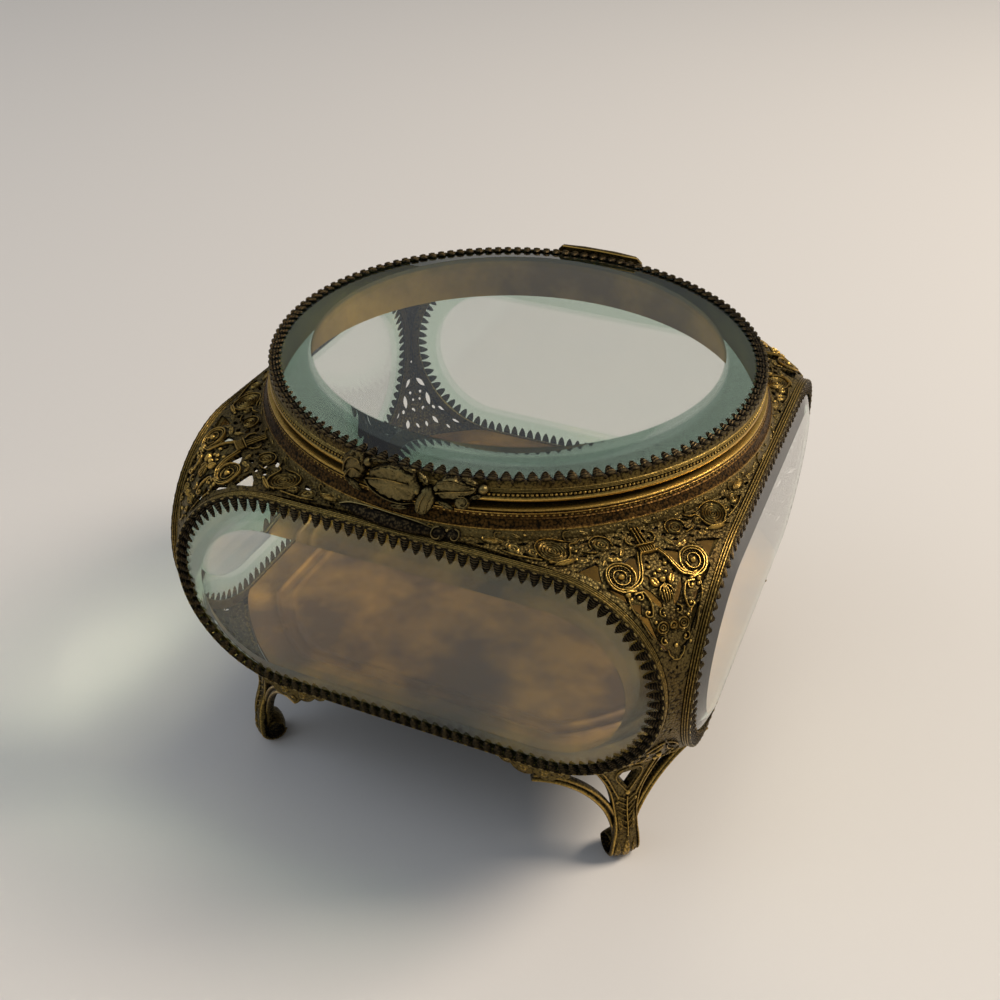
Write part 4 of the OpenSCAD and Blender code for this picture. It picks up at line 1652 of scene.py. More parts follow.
@dataclass
class Collar:
    """The stamped collar round the mouth, with a dotted row and a flared skirt."""

    sizes: CasketSizes
    dots: int = 300
    foot_repeats: int = 28
    liner_wall: float = 0.8

    def foot_band(self) -> Piece:
        """Raises small scrolls and leaves round the collar's foot.

        Returns:
            The ornament.
        """
        s = self.sizes
        r, z = s.collar_r, s.collar_foot
        profile = [(r, z + 0.2), (r, z + 1.3), (r - 0.4, z + 2.2), (r - 0.75, z + 2.85)]
        sheet = Sheet(np.array(profile), z + 1.3)
        width = math.tau * r / self.foot_repeats
        pieces = []
        for i in range(self.foot_repeats):
            p = (i + 0.5) * width - math.pi * r
            pieces += [
                ridge(coil((p, 0.25), 60, [1.15, 1.1, 1.0, 0.9, 0.75, 0.55, 0.35], 1), 0.32, 0.3),
                blade(p + 2.9, 0.75, 2.6, 0.9, 160, 0.3, 2),
                blade(p - 2.7, 0.2, 2.2, 0.8, 20, 0.28),
                ridge([(p + 1.5, -0.6), (p + 3.4, -0.2), (p + 5.2, -0.6)], 0.3, 0.26),
                bead(p + 4.6, 0.9, 0.34, 0.8),
            ]
        piece = join("collar_scrolls", pieces)
        height = coordinates(piece)[:, 2] / MM
        paint_relief(piece, 0.35 + 1.3 * height)
        sheet.wrap(piece)
        return piece

    def build(self) -> None:
        """Builds the collar and the liner inside it."""
        s = self.sizes
        rim = s.collar_rim
        r = s.liner_r + 2.05
        low, out = s.collar_foot, s.collar_r
        foot = [(-0.1, 0.02), (0, 0.3), (0, 1.3), (-0.4, 2.2), (-0.8, 2.9), (-1.3, 2.6), (-1, 0.02)]
        base = turned("collar_foot", [(out + over, low + up) for over, up in foot])
        paint_relief(base, 0.42)
        base = join("collar_foot", [base, self.foot_band()])
        smooth(base)
        finish_piece(base, Finish.FILIGREE, "casket")
        section = [
            (out - 0.9, low + 2.8), (out - 0.62, low + 2.95), (out - 0.66, low + 3.12),
            (out - 0.95, low + 3.2), (out - 1.35, low + 3.8), (r + 0.25, rim - 1.95),
            (r + 0.3, rim - 1.8), (r + 0.05, rim - 1.68), (r, rim - 1.6), (r, rim - 0.95),
            (r + 0.12, rim - 0.85), (r + 0.12, rim - 0.72), (r - 0.08, rim - 0.62),
            (r - 0.08, rim - 0.5), (r + 0.02, rim - 0.3), (r - 0.05, rim - 0.1), (r - 0.25, rim),
            (s.liner_r + 0.05, rim), (s.liner_r + 0.05, rim - 0.9), (r - 0.8, rim - 0.9),
            (r - 0.8, rim - 1.9), (out - 2.2, low + 3.4),
        ]
        ring = turned("collar", section)
        height = coordinates(ring)[:, 2] / MM - rim
        level = np.where(height > -0.95, 0.85, 0.35)
        level = np.where(np.abs(height + 0.55) < 0.1, 0.2, level)
        level = np.where(height < -1.9, 0.22, level)
        level = np.where(height < -3.3, 0.75, level)
        paint_relief(ring, level)
        dots = copies("dots", pearl((0.16, 0.3, 0.24)), ring_matrices(self.dots, r, rim - 1.28))
        paint_relief(dots, 0.8)
        piece = join("collar", [ring, dots])
        smooth(piece)
        finish_piece(piece, Finish.COLLAR, "casket", "collar_ring")

        inner = s.liner_r - self.liner_wall
        sleeve = [(inner, s.liner_foot), (s.liner_r, s.liner_foot), (s.liner_r, s.liner_top - 0.15)]
        sleeve += [(s.liner_r - 0.15, s.liner_top), (inner + 0.15, s.liner_top)]
        liner = turned("collar_liner_sleeve", [*sleeve, (inner, s.liner_top - 0.15)])
        # The liner's outer face low down, in the gap between the lid band and the collar, gets no
        # relief and so turns near black: painted shade in that gap.
        x, y, z = coordinates(liner).T / MM
        outer = np.hypot(x, y) > s.liner_r - 0.3
        paint_relief(liner, np.where(outer & (z < s.band_foot + 2), 0.0, 1.0))
        smooth(liner)
        finish_piece(liner, Finish.SHEET, "casket", "collar_liner")


def ring_matrices(count: int, r: float, z: float, lean: float = 0.0) -> list[Array]:
    """Places on a level circle, each with +X outwards.

    Args:
        count: How many places.
        r: Radius of the circle.
        z: Height of the circle.
        lean: Degrees by which +Z leans outwards.

    Returns:
        A matrix for each place.
    """
    places = []
    for i in range(count):
        place = (
            Matrix.Rotation(math.tau * (i + 0.5) / count, 4, "Z")
            @ Matrix.Translation(Vector((r, 0, z)) * MM)
            @ Matrix.Rotation(math.radians(lean), 4, "Y")
        )
        places.append(np.array(place))
    return places


@dataclass
class Lid:
    """The lid: a reeded and beaded band, a toothed strip and a round bevelled glass."""

    sizes: CasketSizes
    bevel_w: float = 8.0
    bevel_drop: float = 1.95
    beads: int = 380
    teeth: int = 136
    tooth: Tooth = field(
        default_factory=lambda: Tooth(length=2.5, half_width=1.1, ribs=3, ball=0.34)
    )

    def band(self) -> Piece:
        """Builds the band with its bead row.

        Returns:
            The band.
        """
        s = self.sizes
        foot = s.band_foot
        r = s.band_r
        section = [
            (r - 1.15, foot), (r - 0.2, foot), (r - 0.02, foot + 0.2), (r, foot + 0.45),
            (r - 0.02, foot + 0.7), (r - 0.2, foot + 0.9), (r - 0.35, foot + 1.0),
            (r - 0.35, foot + 1.8), (r - 0.2, foot + 1.88), (r - 0.08, foot + 2.04),
            (r - 0.2, foot + 2.2), (r - 0.08, foot + 2.36), (r - 0.2, foot + 2.52),
            (r - 0.08, foot + 2.68), (r - 0.25, foot + 2.85), (r - 0.3, s.band_rim - 0.4),
            (r - 0.5, s.band_rim - 0.15), (r - 0.7, s.band_rim - 0.15), (r - 0.7, s.lid_glass_foot),
            (s.liner_r - 1.2, s.lid_glass_foot), (s.liner_r - 1.2, s.lid_glass_foot - 0.5),
            (r - 1.2, s.lid_glass_foot - 0.5),
        ]
        band = turned("lid_band_ring", section)
        places = coordinates(band) / MM
        out = np.hypot(places[:, 0], places[:, 1])
        paint_relief(band, 0.15 + 0.75 * np.clip((out - (r - 0.35)) / 0.35, 0, 1))
        places = ring_matrices(self.beads, r - 0.3, foot + 1.4)
        beads = copies("band_beads", pearl((0.34, 0.34, 0.34)), places)
        paint_relief(beads, 0.8)
        piece = join("lid_band_beaded", [band, beads])
        smooth(piece)
        return piece

    def strip(self) -> Piece:
        """Builds the folded leaves over the lid glass's bevel, and their upright roots.

        Returns:
            The toothed strip.
        """
        s = self.sizes
        tilt = math.degrees(math.atan2(self.bevel_drop, self.bevel_w))
        top = s.band_rim - 0.2
        inward = np.array(Matrix.Rotation(math.radians(90), 4, "Z"))
        places = ring_matrices(self.teeth, s.band_r - 0.3, top, tilt * 0.7)
        leaves = self.tooth.row("leaves", [place @ inward for place in places])
        rows = []
        for r, z, size in (
            (s.band_r - 0.45, top + 0.32, (0.42, 0.9, 0.34)),
            (s.band_r - 0.32, top - 0.3, (0.3, 0.34, 0.5)),
        ):
            shift = np.array(Matrix.Rotation(math.pi / self.teeth * len(rows), 4, "Z"))
            ring = [shift @ place for place in ring_matrices(self.teeth, r, z)]
            rows.append(copies("knobs", pearl(size), ring))
            height = coordinates(rows[-1])[:, 2] / MM - z
            paint_relief(rows[-1], 0.3 + 0.45 * height / size[2])
        roots = join("roots", rows)
        piece = join("lid_toothed_strip", [leaves, roots])
        clean(piece)
        smooth(piece)
        return piece

    def glass(self) -> Piece:
        """Builds the round glass with its wide bevel.

        Returns:
            The glass.
        """
        s = self.sizes
        edge = s.lid_glass_top - self.bevel_drop
        deselect_all()
        bpy.ops.mesh.primitive_cylinder_add(
            vertices=ROUND_STEPS, radius=s.lid_glass_r * MM, depth=(edge - s.lid_glass_foot) * MM,
            location=(0, 0, (edge + s.lid_glass_foot) / 2 * MM),
        )
        piece = named("lid_bevelled_glass")
        bpy.ops.object.transform_apply(location=True, rotation=True, scale=True)
        inset_faces(piece, (0, 0, 1), [(self.bevel_w, self.bevel_drop), (0.4, 0.0)])
        inset_faces(piece, (0, 0, -1), [(self.bevel_w - 0.4, 0.0), (0.8, 0.0)])
        places = coordinates(piece) / MM
        r = np.hypot(places[:, 0], places[:, 1])
        paint_relief(piece, np.where(r < s.lid_glass_r - self.bevel_w - 0.2, 1.0, 0.0))
        smooth(piece, 8)
        return piece

    def build(self) -> None:
        """Builds the lid and dresses it."""
        finish_piece(self.band(), Finish.ANTIQUE, "lid", "lid_band")
        finish_piece(self.strip(), Finish.DARK, "lid", "lid_gallery")
        finish_piece(self.glass(), Finish.LID_GLASS, "lid", "lid_glass")


@dataclass
class Foot:
    """The four cast feet: a leafy stem forks up to the corner and rolls into a scroll toe."""

    sizes: CasketSizes
    toe_r: float = 3.6
    toe_swell: float = 2.2
    crotch: float = 20.2
    strut_w: float = 1.8
    strut_t: float = 2.2
    arch_r: float = 24.1

    @property
    def leg(self) -> float:
        """Height of the frames' underside."""
        return self.sizes.panel_mid - self.sizes.panel_r

    def sheet(self) -> Sheet:
        """Gives the foot's front face, with the spiral of the toe at its lower end.

        Returns:
            The unrolled face, where q is the height on the stem.
        """
        face = self.sizes.corner_r
        middle = face + self.toe_swell - self.toe_r + 0.4
        profile = []
        for angle in range(-420, 0, 12):
            r = (self.toe_r - 0.4) * (0.36 + 0.64 * min((angle + 420) / 250, 1.0))
            turn = math.radians(angle)
            profile.append((middle + r * math.cos(turn), self.toe_r + r * math.sin(turn)))
        stem = [
            (face + self.toe_swell, 3.6), (face + 2.15, 6.2), (face + 1.9, 8.6), (face + 1.4, 10.9),
            (face + 0.5, 14.0), (face + 0.15, 17.7), (face + 0.02, 22.0), (face + 0.15, 26.5),
            (face + 0.45, 29.6), (face + 0.75, 31.2),
        ]
        sheet = Sheet(np.vstack([profile, smooth_line(stem, 8)]), self.crotch)
        sheet.q += self.crotch
        return sheet

    def front(self) -> Piece:
        """Builds the stem, its two arms and the rolled toe with their leaf work.

        Returns:
            The front of the foot, on the diagonal over +X.
        """
        sheet = self.sheet()
        low = sheet.q[0]
        half = [(low, 2.2), (-12, 2.8), (-6, 3.15), (-2, 3.4), (1, 3.45), (4, 3.4), (6.5, 3.05)]
        half += [(8.5, 2.8), (10.5, 2.7), (13, 2.75), (16.2, 3.15), (19.2, 3.95), (22.9, 5.45)]
        half += [(26.5, 7.65), (29, 10.1), (30.9, 12)]
        line = smooth_line(half, 3)
        right = [(w, q) for q, w in line]
        plate = slab("stem", right + [(-p, q) for p, q in reversed(right)], -1, 0)
        gap = [(0, 20.2), (1.3, 22.2), (2.35, 23.9), (1.5, 24.9)]
        gap += [(-p, q) for p, q in gap[:0:-1]]
        cut(plate, slab("gap", gap, -3, 3))
        divide(plate, 0.8, 0.7)
        side = [
            ridge(
                [(2.9, -6), (3.1, -1), (3.1, 3), (2.8, 6.5), (2.45, 9), (2.4, 12), (2.8, 15.6)]
                + [(3.6, 19.2), (5.1, 22.9), (7.3, 26.5), (9.6, 29.2)], 0.55, 0.42,
            ),
            ridge([(0.3, 19.4), (1.6, 21.4), (2.95, 23.8), (2.3, 25.6), (0.4, 26)], 0.45, 0.35),
            blade(1.95, 2.2, 9, 1.6, 92, 0.5, 6), blade(1.6, 11, 5.4, 1.3, 86, 0.45, 4),
            ridge([(1.9, 17.6), (3.3, 20.8), (4.7, 24), (6.4, 27), (8, 29.6)], 0.5, 0.4),
            blade(3.7, 27.7, 4.6, 1.9, 105, 0.55, 4),
            blade(8.2, 29.2, 3.4, 1.4, 50, 0.5, 3), bead(2.1, 16.4, 0.42, 0.9),
        ]
        for step in range(6):
            q = 9.6 + 1.45 * step
            side.append(ridge([(0.2, q), (0.9, q + 0.5), (1.9 + 0.1 * step, q + 1.6)], 0.34, 0.3))
        for step in range(5):
            p = 2.6 + 1.15 * step
            q = 19.6 + 2.2 * step
            side.append(ridge([(p, q), (p + 0.9, q + 0.1), (p + 1.3, q + 0.8)], 0.34, 0.3))
        right_half = join("foot_leaves", side)
        left_half = mirrored("foot_leaves_left", right_half, 0)
        middle = [
            blade(0, 2, 11, 2, 90, 0.65, 7),
            ridge([(0, 7.6), (0, 12), (0, 17.8)], 0.42, 0.42, fade=False),
            bead(0, 18.9, 0.62, 0.9), blade(0, 28.2, 4.8, 2.4, 90, 0.6, 4),
        ]
        piece = join("foot_front", [plate, right_half, left_half, *middle])
        places = coordinates(piece)
        p, q, h = places.T / MM
        paint_relief(piece, np.where(h < -0.2, 0.05, 0.36 + 1.1 * h))
        half_width = np.interp(q, line[:, 0], line[:, 1])
        crown = 0.6 * (1 - np.clip(np.abs(p) / half_width, 0, 1) ** 2) - 0.6
        crown *= np.interp(q, [18, 24], [1, 0.3])
        back = np.interp(q, [low, 0, 6, 12], [0.7, 0.9, 1.1, 1.8])
        places[:, 2] = np.where(h < -0.9, h * back, h + crown) * MM
        set_coordinates(piece, places)
        sheet.wrap(piece)
        return piece

    def strut(self) -> Piece:
        """Builds one arched strut: a bar with two ridges on its face.

        Returns:
            The strut, on the right of the foot.
        """
        s = self.sizes
        plane = s.plate_plane - 0.2
        start = np.array([s.corner_r - 0.4, -1.55])
        end = np.array([plane + s.panel_straight, s.panel_straight - plane]) / math.sqrt(2)
        run = float(np.linalg.norm(end - start))
        way = (end - start) / run
        middle = (run + 6.5, self.leg - 27)
        first = math.acos(-(middle[0] + 0.4) / self.arch_r)
        last = math.acos(-(middle[0] - run - 1.2) / self.arch_r)
        angles = np.linspace(first, last, 26)
        section = np.array(
            [(-1.1, 0.1), (-0.95, 0.7), (-0.65, 0.9), (-0.35, 0.75), (-0.1, 0.4), (0.1, 0.4)]
            + [(0.35, 0.75), (0.65, 0.9), (0.95, 0.7), (1.1, 0.1), (0.8, -0.9), (-0.8, -0.9)]
        )
        net, around, along = grid("strut", len(section), len(angles) - 1)
        part = pick(section, around, closed=True)
        angle = pick(angles, along)
        reach = self.arch_r + part[:, 0] * self.strut_t / 2.2
        forward = middle[0] + reach * np.cos(angle)
        up = middle[1] + reach * np.sin(angle)
        flat = start + forward[:, None] * way
        outward = np.array([-way[1], way[0]])
        flat = flat + (part[:, 1] * self.strut_w / 1.8)[:, None] * outward
        places = np.column_stack([flat, up])
        piece = bend(net, places, capped=True)
        places = coordinates(piece)[:, :2] / MM - start
        stands = places @ np.array([-way[1], way[0]])
        paint_relief(piece, np.interp(stands, [-0.9, 0.3, 0.45, 0.9], [0.15, 0.15, 0.3, 0.85]))
        return piece

    def flange(self) -> Piece:
        """Builds the lobed and veined leaf that hangs under the frame beside the foot.

        Returns:
            The leaf, on the right of the foot.
        """
        s = self.sizes
        discs = [(-6.4, 0.4, 2.2), (-2.8, -0.2, 3.1), (1.8, -0.4, 2.9), (5.2, 0.6, 2)]
        lower = []
        upper = []
        for x in np.arange(-8.4, 7.2, 0.4):
            over = [(cz, r * r - (x - cx) ** 2) for cx, cz, r in discs if abs(x - cx) < r]
            depths = [cz - math.sqrt(rest) for cz, rest in over]
            if depths:
                lower.append((float(x), min(depths)))
                lift = s.panel_r - math.sqrt(s.panel_r**2 - max(float(x), 0) ** 2)
                upper.append((float(x), max(lift - 0.05, min(depths) + 0.1)))
        plate = slab("under_leaf", lower + upper[::-1], -1.8, 0)
        veins = [
            blade(-6.4, -0.3, 2.6, 1.6, 100, 0.5, 3), blade(-2.8, -1.3, 3.6, 2.2, 95, 0.55, 4),
            blade(1.6, -1.2, 3.6, 2, 85, 0.55, 4), blade(5, 0, 2.4, 1.4, 80, 0.5, 3),
            ridge([(-8, -0.2), (-4, -0.35), (0, -0.3), (4, 0.1)], 0.36, 0.35),
        ]
        piece = join("under_leaf", [plate, *veins])
        p, q, h = coordinates(piece).T / MM
        paint_relief(piece, np.where(h < -0.1, 0.05, 0.34 + 1.0 * h))
        front = s.plate_plane - 0.2 + self.strut_w / 2
        places = np.column_stack([p + s.panel_straight, -front - np.maximum(h, -1.8), q + self.leg])
        set_coordinates(piece, places * MM)
        piece.data.transform(Matrix.Rotation(math.radians(45), 4, "Z"))
        clean(piece)
        return piece

    def build(self) -> None:
        """Builds the four feet and dresses them."""
        right = join("foot_side", [self.strut(), self.flange()])
        left = mirrored("foot_other_side", right, 1)
        piece = join("foot_model", [self.front(), right, left])
        smooth(piece, 42)
        finish_round(piece, "cast_foot", Finish.ANTIQUE, "foot", Corner)


@dataclass
class Clasp:
    """The cast thumb lift on the lid and the catch on the collar under it."""

    sizes: CasketSizes

    def lift(self) -> Piece:
        """Builds the lift: a bud, a broad leaf, a knot, and a leaf that ends in a ball.

        Returns:
            The lift, over +X.
        """
        s = self.sizes
        r = s.band_r
        z = (s.band_foot + s.band_rim) / 2 - 1.2
        profile = [(r + 2.3, z - 5.2), (r + 1.6, z - 2.8), (r + 0.95, z), (r + 0.65, z + 4)]
        sheet = Sheet(np.array(profile), z)
        pieces = [
            dome(
                [(-8.2, -0.8), (-7.4, 1.4), (-5.2, 3), (-2.4, 3.7), (0.8, 3.3), (2.7, 1.4)]
                + [(2.9, -0.7), (1.5, -2.5), (-0.9, -3.3), (-4.2, -3.1), (-6.7, -2.1)], 0.8,
                rim=0.2, lobes=11,
            ),
            blade(-9.9, 3.2, 4.2, 2.2, 150, 0.9, 4), blade(-11, -2.6, 4.6, 1.6, 160, 0.9, 4),
            blade(-5.4, 4.1, 4, 1.6, 20, 0.85, 4), blade(0.6, 3.9, 3.6, 1.5, -15, 0.8, 3),
            blade(3.6, 2.4, 3, 1.3, -50, 0.8, 3), blade(12, 3.2, 3.4, 1.3, -20, 0.7, 3),
            blade(13.2, 0.4, 3.4, 1.2, 20, 0.7, 3), blade(-1, -4.1, 4.4, 1.3, 8, 0.7, 4),
            blade(7.8, -2, 3.6, 1.3, 160, 0.7, 3),
            ridge([(-8.3, -0.9), (-6.7, -2.3), (-4.1, -3.2), (-0.8, -3.4), (2, -2.7)], 0.5, 0.55),
            ridge([(-7.2, 1.2), (-5, 2.7), (-2.4, 3.4), (0.6, 3)], 0.34, 0.4),
            ridge([(-7.6, -0.2), (-4.6, 0.6), (-1.6, 0.9), (1.4, 0.6)], 0.34, 1.1),
            dome(
                [(-13.5, -0.6), (-13.7, 1.4), (-12.5, 3.3), (-10.4, 3.8), (-8.6, 2.8)]
                + [(-8.2, 0.9), (-9.2, -0.9), (-11.3, -1.9)], 0.75, rim=0.2, lobes=7,
            ),
            ridge([(-13, -0.8), (-12.6, 1.2), (-11.2, 2.8), (-9.4, 2.6), (-9.2, 1.2)], 0.5, 0.95),
            ridge([(-12.6, -1.6), (-11.4, 0.2), (-10.2, 0.6), (-8.9, -0.2)], 0.45, 0.95),
            bead(-7.7, 2.7, 0.85, 1), bead(-12.6, -0.9, 0.7, 1), bead(2.4, -0.3, 0.7, 1.3),
            dome(
                [(2.3, -4.3), (2.2, -2.2), (3.1, 0.2), (4.9, 0.9), (5.8, -0.7)]
                + [(5.3, -3), (4, -4.6)], 0.75,
            ),
            ridge([(3, -4), (3.4, -1.8), (4.4, 0.2)], 0.45, 1),
            ridge([(4.4, -4), (4.6, -2), (5.3, -0.4)], 0.4, 0.9),
            dome(
                [(5.2, 0.4), (6.4, 2.8), (8.7, 3.7), (10.8, 3.2), (13.6, 2.1), (12.2, 0.5)]
                + [(9.6, -0.6), (6.9, -0.8)], 0.7, rim=0.2, lobes=8,
            ),
            ridge([(6, 0.3), (8.6, 1), (11, 1.4), (13.2, 1.8)], 0.36, 1),
            ridge([(6.2, 2.2), (8.4, 2.9), (10.8, 2.5), (12.8, 2.1)], 0.34, 0.65),
            bead(6, 1, 0.6, 1.3), dome(disc_outline(10.7, -1, 1.45), 0.5),
            ridge(coil((10.7, -1), 120, [1.3, 1.25, 1.15, 1, 0.8, 0.6, 0.4], -1), 0.4, 0.75),
            bead(14.35, 1.95, 0.95, 1),
        ]
        piece = join("clasp_leaves", pieces)
        height = coordinates(piece)[:, 2] / MM
        paint_relief(piece, 0.05 + 0.62 * np.clip(height, -0.2, 1.4))
        sheet.wrap(piece)
        return piece

    def catch(self) -> Piece:
        """Builds the catch: a smooth tab with a bright edge that ends in two scrolls.

        Returns:
            The catch, over +X.
        """
        s = self.sizes
        r = s.collar_r
        foot = s.collar_foot + 1.3
        profile = [(r + 0.75, foot - 1.3), (r + 0.7, foot), (r - 0.1, foot + 0.9)]
        profile.append((r - 1, foot + 1.7))
        sheet = Sheet(np.array(profile), foot + 0.3)
        pieces = [
            dome(
                [(-13.8, -0.2), (-11, 0.7), (-7, 1.25), (-2, 1.3), (3, 1), (6, 0.3)]
                + [(4.4, -0.9), (0, -1.3), (-6, -1.35), (-11, -1)], 0.3, depth=0.7,
            ),
            dome(disc_outline(7, -0.2, 1.5), 0.35, depth=0.7),
            dome(disc_outline(9.9, -0.1, 1.35), 0.35, depth=0.7),
        ]
        bright = [
            ridge([(-13.6, 0), (-11, 0.95), (-7, 1.45), (-2, 1.5), (3, 1.2), (6, 0.6)], 0.34, 0.4),
            ridge(coil((7, -0.2), 90, [1.3, 1.25, 1.15, 1, 0.8, 0.6, 0.4], 1), 0.36, 0.6),
            ridge(coil((9.9, -0.1), 90, [1.15, 1.1, 1, 0.9, 0.7, 0.5, 0.3], -1), 0.34, 0.6),
            bead(8.5, 0.7, 0.35, 1),
        ]
        tab = join("catch_tab", pieces)
        paint_relief(tab, 0.12)
        edge = join("catch_edge", bright)
        paint_relief(edge, 0.95)
        piece = join("catch_scrolls", [tab, edge])
        sheet.wrap(piece)
        return piece

    def build(self) -> None:
        """Builds the lift and the catch and dresses them."""
        rows = (
            ("thumb_lift", self.lift(), Finish.CAST, "lid", "clasp_lift"),
            ("catch_tab_scrolls", self.catch(), Finish.DARK, "casket", "catch_plate"),
        )
        for name, model, finish, body, node in rows:
            smooth(model, 45)
            piece = turned_copy(name, model, -90.0)
            bpy.data.objects.remove(model)
            finish_piece(piece, finish, body, node)


@dataclass
class Hinge:
    """The hinge at the back: two ornamented leaves, three knuckles and a pin."""

    sizes: CasketSizes
    knuckle_r: float = 1.35
    bore_r: float = 0.7
    knuckle_w: float = 6.0
    gap: float = 0.15
    leaf_t: float = 0.8
    pin_half: float = 9.6

    def tube(self, middle: float) -> Piece:
        """Builds one knuckle round the pin.

        Args:
            middle: Its place along the pin.

        Returns:
            The knuckle.
        """
        s = self.sizes
        half = self.knuckle_w / 2
        r = self.knuckle_r
        section = [(-half, self.bore_r), (-half, r - 0.12), (-half + 0.12, r)]
        section += [(half - 0.12, r), (half, r - 0.12), (half, self.bore_r)]
        net, around, over = grid("knuckle", 24, len(section))
        angle = around * math.tau
        part = pick(section, over, closed=True)
        y = s.hinge_y + part[:, 1] * np.cos(angle)
        z = s.hinge_z + part[:, 1] * np.sin(angle)
        return bend(net, np.column_stack([middle + part[:, 0], y, z]))

    def plate(self, outline: Points, ornament: Sequence[Piece], face: float) -> Piece:
        """Stands a leaf of the hinge up at the back, with ornament on its outer face.

        Args:
            outline: Points across and up, seen from behind.
            ornament: Flat pieces raised on it.
            face: How far back its outer face lies.

        Returns:
            The leaf.
        """
        body = slab("hinge_plate", outline, -self.leaf_t, 0.0)
        piece = join("hinge_plate", [body, *ornament])
        p, q, h = coordinates(piece).T / MM
        paint_relief(piece, np.where(h < -0.1, 0.3, 0.34 + 1.0 * h))
        set_coordinates(piece, np.column_stack([-p, face + h, q]) * MM)
        clean(piece)
        return piece

    def build(self) -> None:
        """Builds the two leaves and the pin and dresses them."""
        s = self.sizes
        half = s.leaf_half
        foot = s.band_foot
        top = s.leaf_top
        mid = (foot + top) / 2
        outline = [(-half, foot), (half, foot), (half, top - 1.3), (half - 1.0, top - 0.35)]
        outline += [(4.0, top), (-4.0, top), (-half + 1.6, top - 0.35), (-half, top - 1.6)]
        upper = [(-half + 0.5, top - 1.6), (-half + 1.8, top - 0.65), (-4, top - 0.35)]
        upper += [(4, top - 0.35), (half - 1.2, top - 0.65), (half - 0.5, top - 1.4)]
        lower = [(-half + 0.5, foot + 0.5), (0, foot + 0.5), (half - 0.5, foot + 0.5)]
        raised = [ridge(line, 0.4, 0.3, fade=False) for line in (upper, lower)]
        raised.append(rosette(0.0, mid, 1.9, 3, 0.4))
        scroll = coil((5.0, mid), 150, [1.8, 1.8, 1.75, 1.6, 1.5, 1.3, 1.1, 0.9, 0.6], -1)
        for side in (1, -1):
            line = [(side * p, q) for p, q in [(2.0, mid + 1.2), *scroll]]
            raised.append(ridge(line, 0.42, 0.4))
            raised.append(blade(side * 8.3, mid, 3.6, 2.2, 90, 0.4, 4))
            raised.append(bead(side * 5.0, mid, 0.45, 0.9))
        lid_leaf = self.plate(outline, raised, s.band_r + self.leaf_t)
        line = [(-half + 1.0, top - 0.5), (0, top - 0.25), (half - 1.0, top - 0.5)]
        border = ridge(line, 0.36, 0.3, fade=False)
        p, q, h = coordinates(border).T / MM
        set_coordinates(border, np.column_stack([p, s.band_r + 0.02 - h, q]) * MM)
        clean(border)
        paint_relief(border, 1.0)
        reach = self.knuckle_w / 2 + self.gap + self.knuckle_w / 2
        end_knuckles = [self.tube(side * reach) for side in (-1, 1)]
        middle_knuckle = self.tube(0.0)
        low = s.collar_foot
        high = s.hinge_z - self.knuckle_r - 0.3
        body_outline = [(-half, low), (half, low), (half, high - 0.8), (half - 0.8, high)]
        body_outline += [(3.0, high), (3.0, s.hinge_z), (-3.0, s.hinge_z), (-3.0, high)]
        body_outline += [(-half + 0.8, high), (-half, high - 0.8)]
        centre = (low + high) / 2
        raised = [blade(side * 6.6, centre, 5.6, 2.6, 0, 0.3, 5) for side in (1, -1)]
        raised.append(rosette(0.0, centre, 1.7, 3, 0.3))
        body_leaf = self.plate(body_outline, raised, s.hinge_y + self.knuckle_r - 0.35)
        for tube in (*end_knuckles, middle_knuckle):
            paint_relief(tube, 0.55)
        lid_piece = join("hinge_leaf_of_lid", [lid_leaf, border, *end_knuckles])
        body_piece = join("hinge_leaf_of_box", [body_leaf, middle_knuckle])
        net, around, along = grid("hinge_wire", 16, 4)
        y = s.hinge_y - s.pin_r * np.cos(around * math.tau)
        z = s.hinge_z + s.pin_r * np.sin(around * math.tau)
        pin = bend(net, np.column_stack([self.pin_half * (2 * along - 1), y, z]), capped=True)
        paint_relief(pin, 0.8)
        rows = (
            (lid_piece, Finish.ANTIQUE, "lid", "lid_hinge_leaf"),
            (body_piece, Finish.ANTIQUE, "casket", "body_hinge_leaf"),
            (pin, Finish.SHEET, "casket", "hinge_pin"),
        )
        for piece, finish, body, node in rows:
            smooth(piece)
            finish_piece(piece, finish, body, node)


@dataclass
class BottomPlate:
    """The pressed floor of the box, with two raised lines round its border."""

    sizes: CasketSizes
    gap: float = 1.05
    edge: float = 0.8

    def build(self) -> None:
        """Builds the floor and dresses it."""
        s = self.sizes
        corner_r = s.corner_r - self.gap
        top = s.floor_low + self.edge
        rings = [(0.15, s.floor_low), (0.0, s.floor_low + 0.15), (0.0, top - 0.15), (0.15, top)]
        rings += [(5.8, top), (6.1, top + 0.25), (6.4, top + 0.4), (6.8, top + 0.4)]
        rings += [(7.1, top + 0.25), (7.4, top), (8.8, top), (9.1, top + 0.2), (9.4, top + 0.3)]
        rings += [(9.8, top + 0.3), (10.1, top + 0.2), (10.4, top), (11.2, top), (26.0, top)]
        net, around, inward = grid("pressed_floor", 144, len(rings) - 1)
        inset, height = pick(rings, inward).T
        angle = around * math.tau
        slant = np.maximum(np.abs(np.cos(angle)), np.abs(np.sin(angle)))
        side = (s.channel_back - inset) / slant
        r = np.minimum(side, corner_r - inset)
        places = np.column_stack([r * np.cos(angle), r * np.sin(angle), height])
        piece = bend(net, places, capped=True)
        height = coordinates(piece)[:, 2] / MM - s.floor_low - self.edge
        paint_relief(piece, 0.5 + 0.8 * height)
        smooth(piece)
        finish_piece(piece, Finish.FLOOR_PLATE, "casket", "bottom_plate")


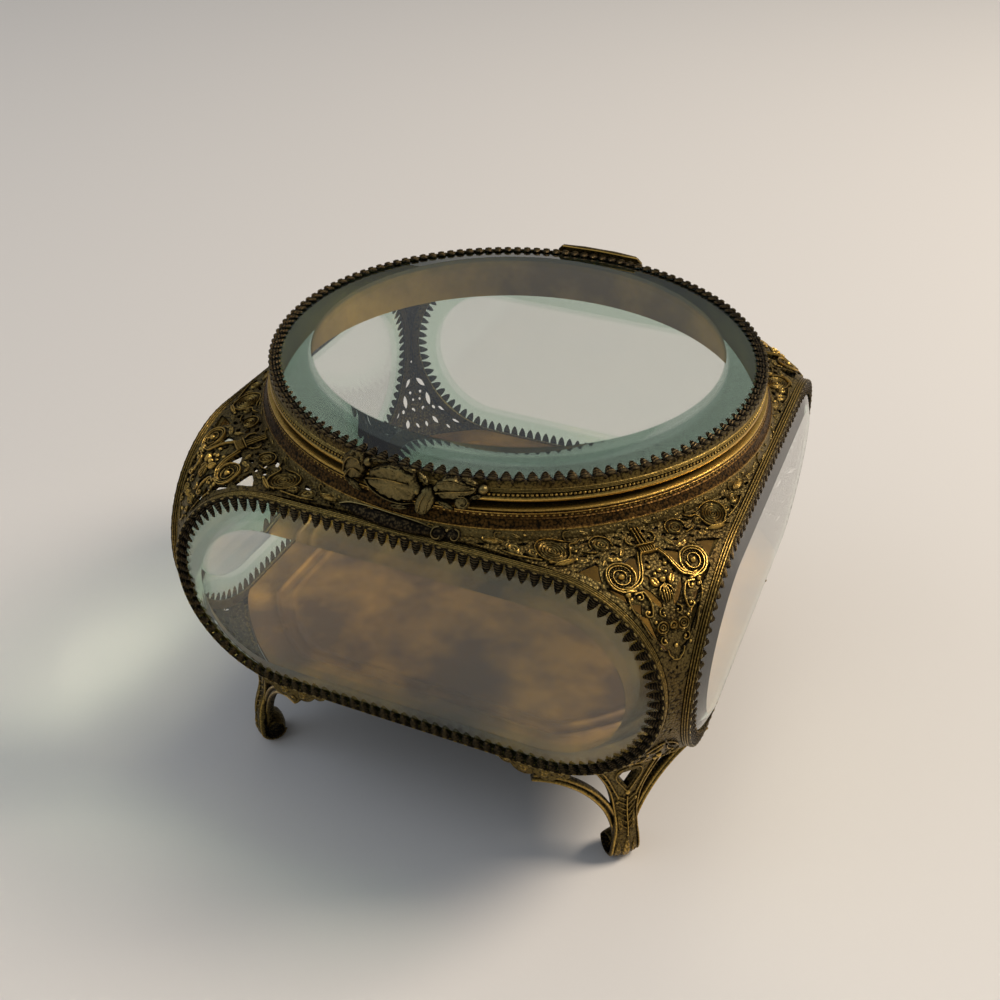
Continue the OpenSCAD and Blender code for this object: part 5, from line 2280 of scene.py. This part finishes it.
@dataclass
class Studio:
    """Floor, soft lights and the camera at the photograph's viewing angle."""

    camera_mm: Point = (83.88, -211.39, 206.80)
    right: Point = (0.92034, 0.39087, 0.01369)
    up: Point = (-0.23104, 0.51509, 0.82541)
    back: Point = (0.31558, -0.76283, 0.56436)
    lens: float = 43.63
    floor_m: float = 8.0
    aim: Point = (0, 0, 50)

    def camera(self) -> None:
        """Adds the camera."""
        data = bpy.data.cameras.new("camera")
        data.lens = self.lens
        data.sensor_width = 36.0
        data.clip_start = 0.005
        camera = bpy.data.objects.new("camera", data)
        turn = Matrix((self.right, self.up, self.back)).transposed().to_4x4()
        camera.matrix_world = Matrix.Translation(Vector(self.camera_mm) * MM) @ turn
        bpy.context.scene.collection.objects.link(camera)
        bpy.context.scene.camera = camera

    def lamp(self, name: str, place: Point, size: float, power: float, colour: str) -> None:
        """Adds a square soft light that faces the box.

        Args:
            name: Name of the light.
            place: Its place in millimetres.
            size: Its side in metres.
            power: Its power in watts.
            colour: Its colour code.
        """
        data = bpy.data.lights.new(name, "AREA")
        data.size = size
        data.energy = power
        data.color = linear(colour)[:3]
        lamp = bpy.data.objects.new(name, data)
        lamp.location = Vector(place) * MM
        way = Vector(self.aim) * MM - lamp.location
        lamp.rotation_euler = way.to_track_quat("-Z", "Y").to_euler()
        bpy.context.scene.collection.objects.link(lamp)

    def build(self) -> None:
        """Adds the floor, the lights, the world and the camera."""
        deselect_all()
        bpy.ops.mesh.primitive_plane_add(size=self.floor_m, location=(0, 0, 0))
        floor = named("floor")
        floor.data.materials.append(PaintedFloor().build())
        self.lamp("key", (860, 500, 1040), 0.5, 20.0, "#fff0dc")
        self.lamp("fill", (-900, -500, 800), 1.0, 3.0, "#d2e0f4")
        world = bpy.data.worlds.new("studio")
        bpy.context.scene.world = world
        world.use_nodes = True
        world.node_tree.nodes.clear()
        node = partial(add_node, world.node_tree)
        way = node("TexCoord", out="Generated")
        upward = node("SeparateXYZ", links={0: way}, out="Z")
        # The sky is bright overhead and dim at the horizon, as in a room
        strength = node(
            "MapRange", {"From Max": 0.85, "To Min": 0.12, "To Max": 0.6}, {"Value": upward}
        )
        sky = node("Background", {"Color": linear("#d8dce0")}, {"Strength": strength})
        node("OutputWorld", links={"Surface": sky})
        bpy.context.scene.view_settings.view_transform = "Standard"
        self.camera()


def main() -> None:
    """Builds the casket piece by piece."""
    logging.basicConfig(level=logging.INFO, format="%(message)s")
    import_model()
    sizes = CasketSizes.from_frame()
    for finish in Finish:
        finish.value.build()
    Studio().build()
    for kind in (SidePanels, CornerFiligree, Collar, Lid, Foot, Clasp, Hinge, BottomPlate):
        kind(sizes).build()


if __name__ == "__main__":
    main()
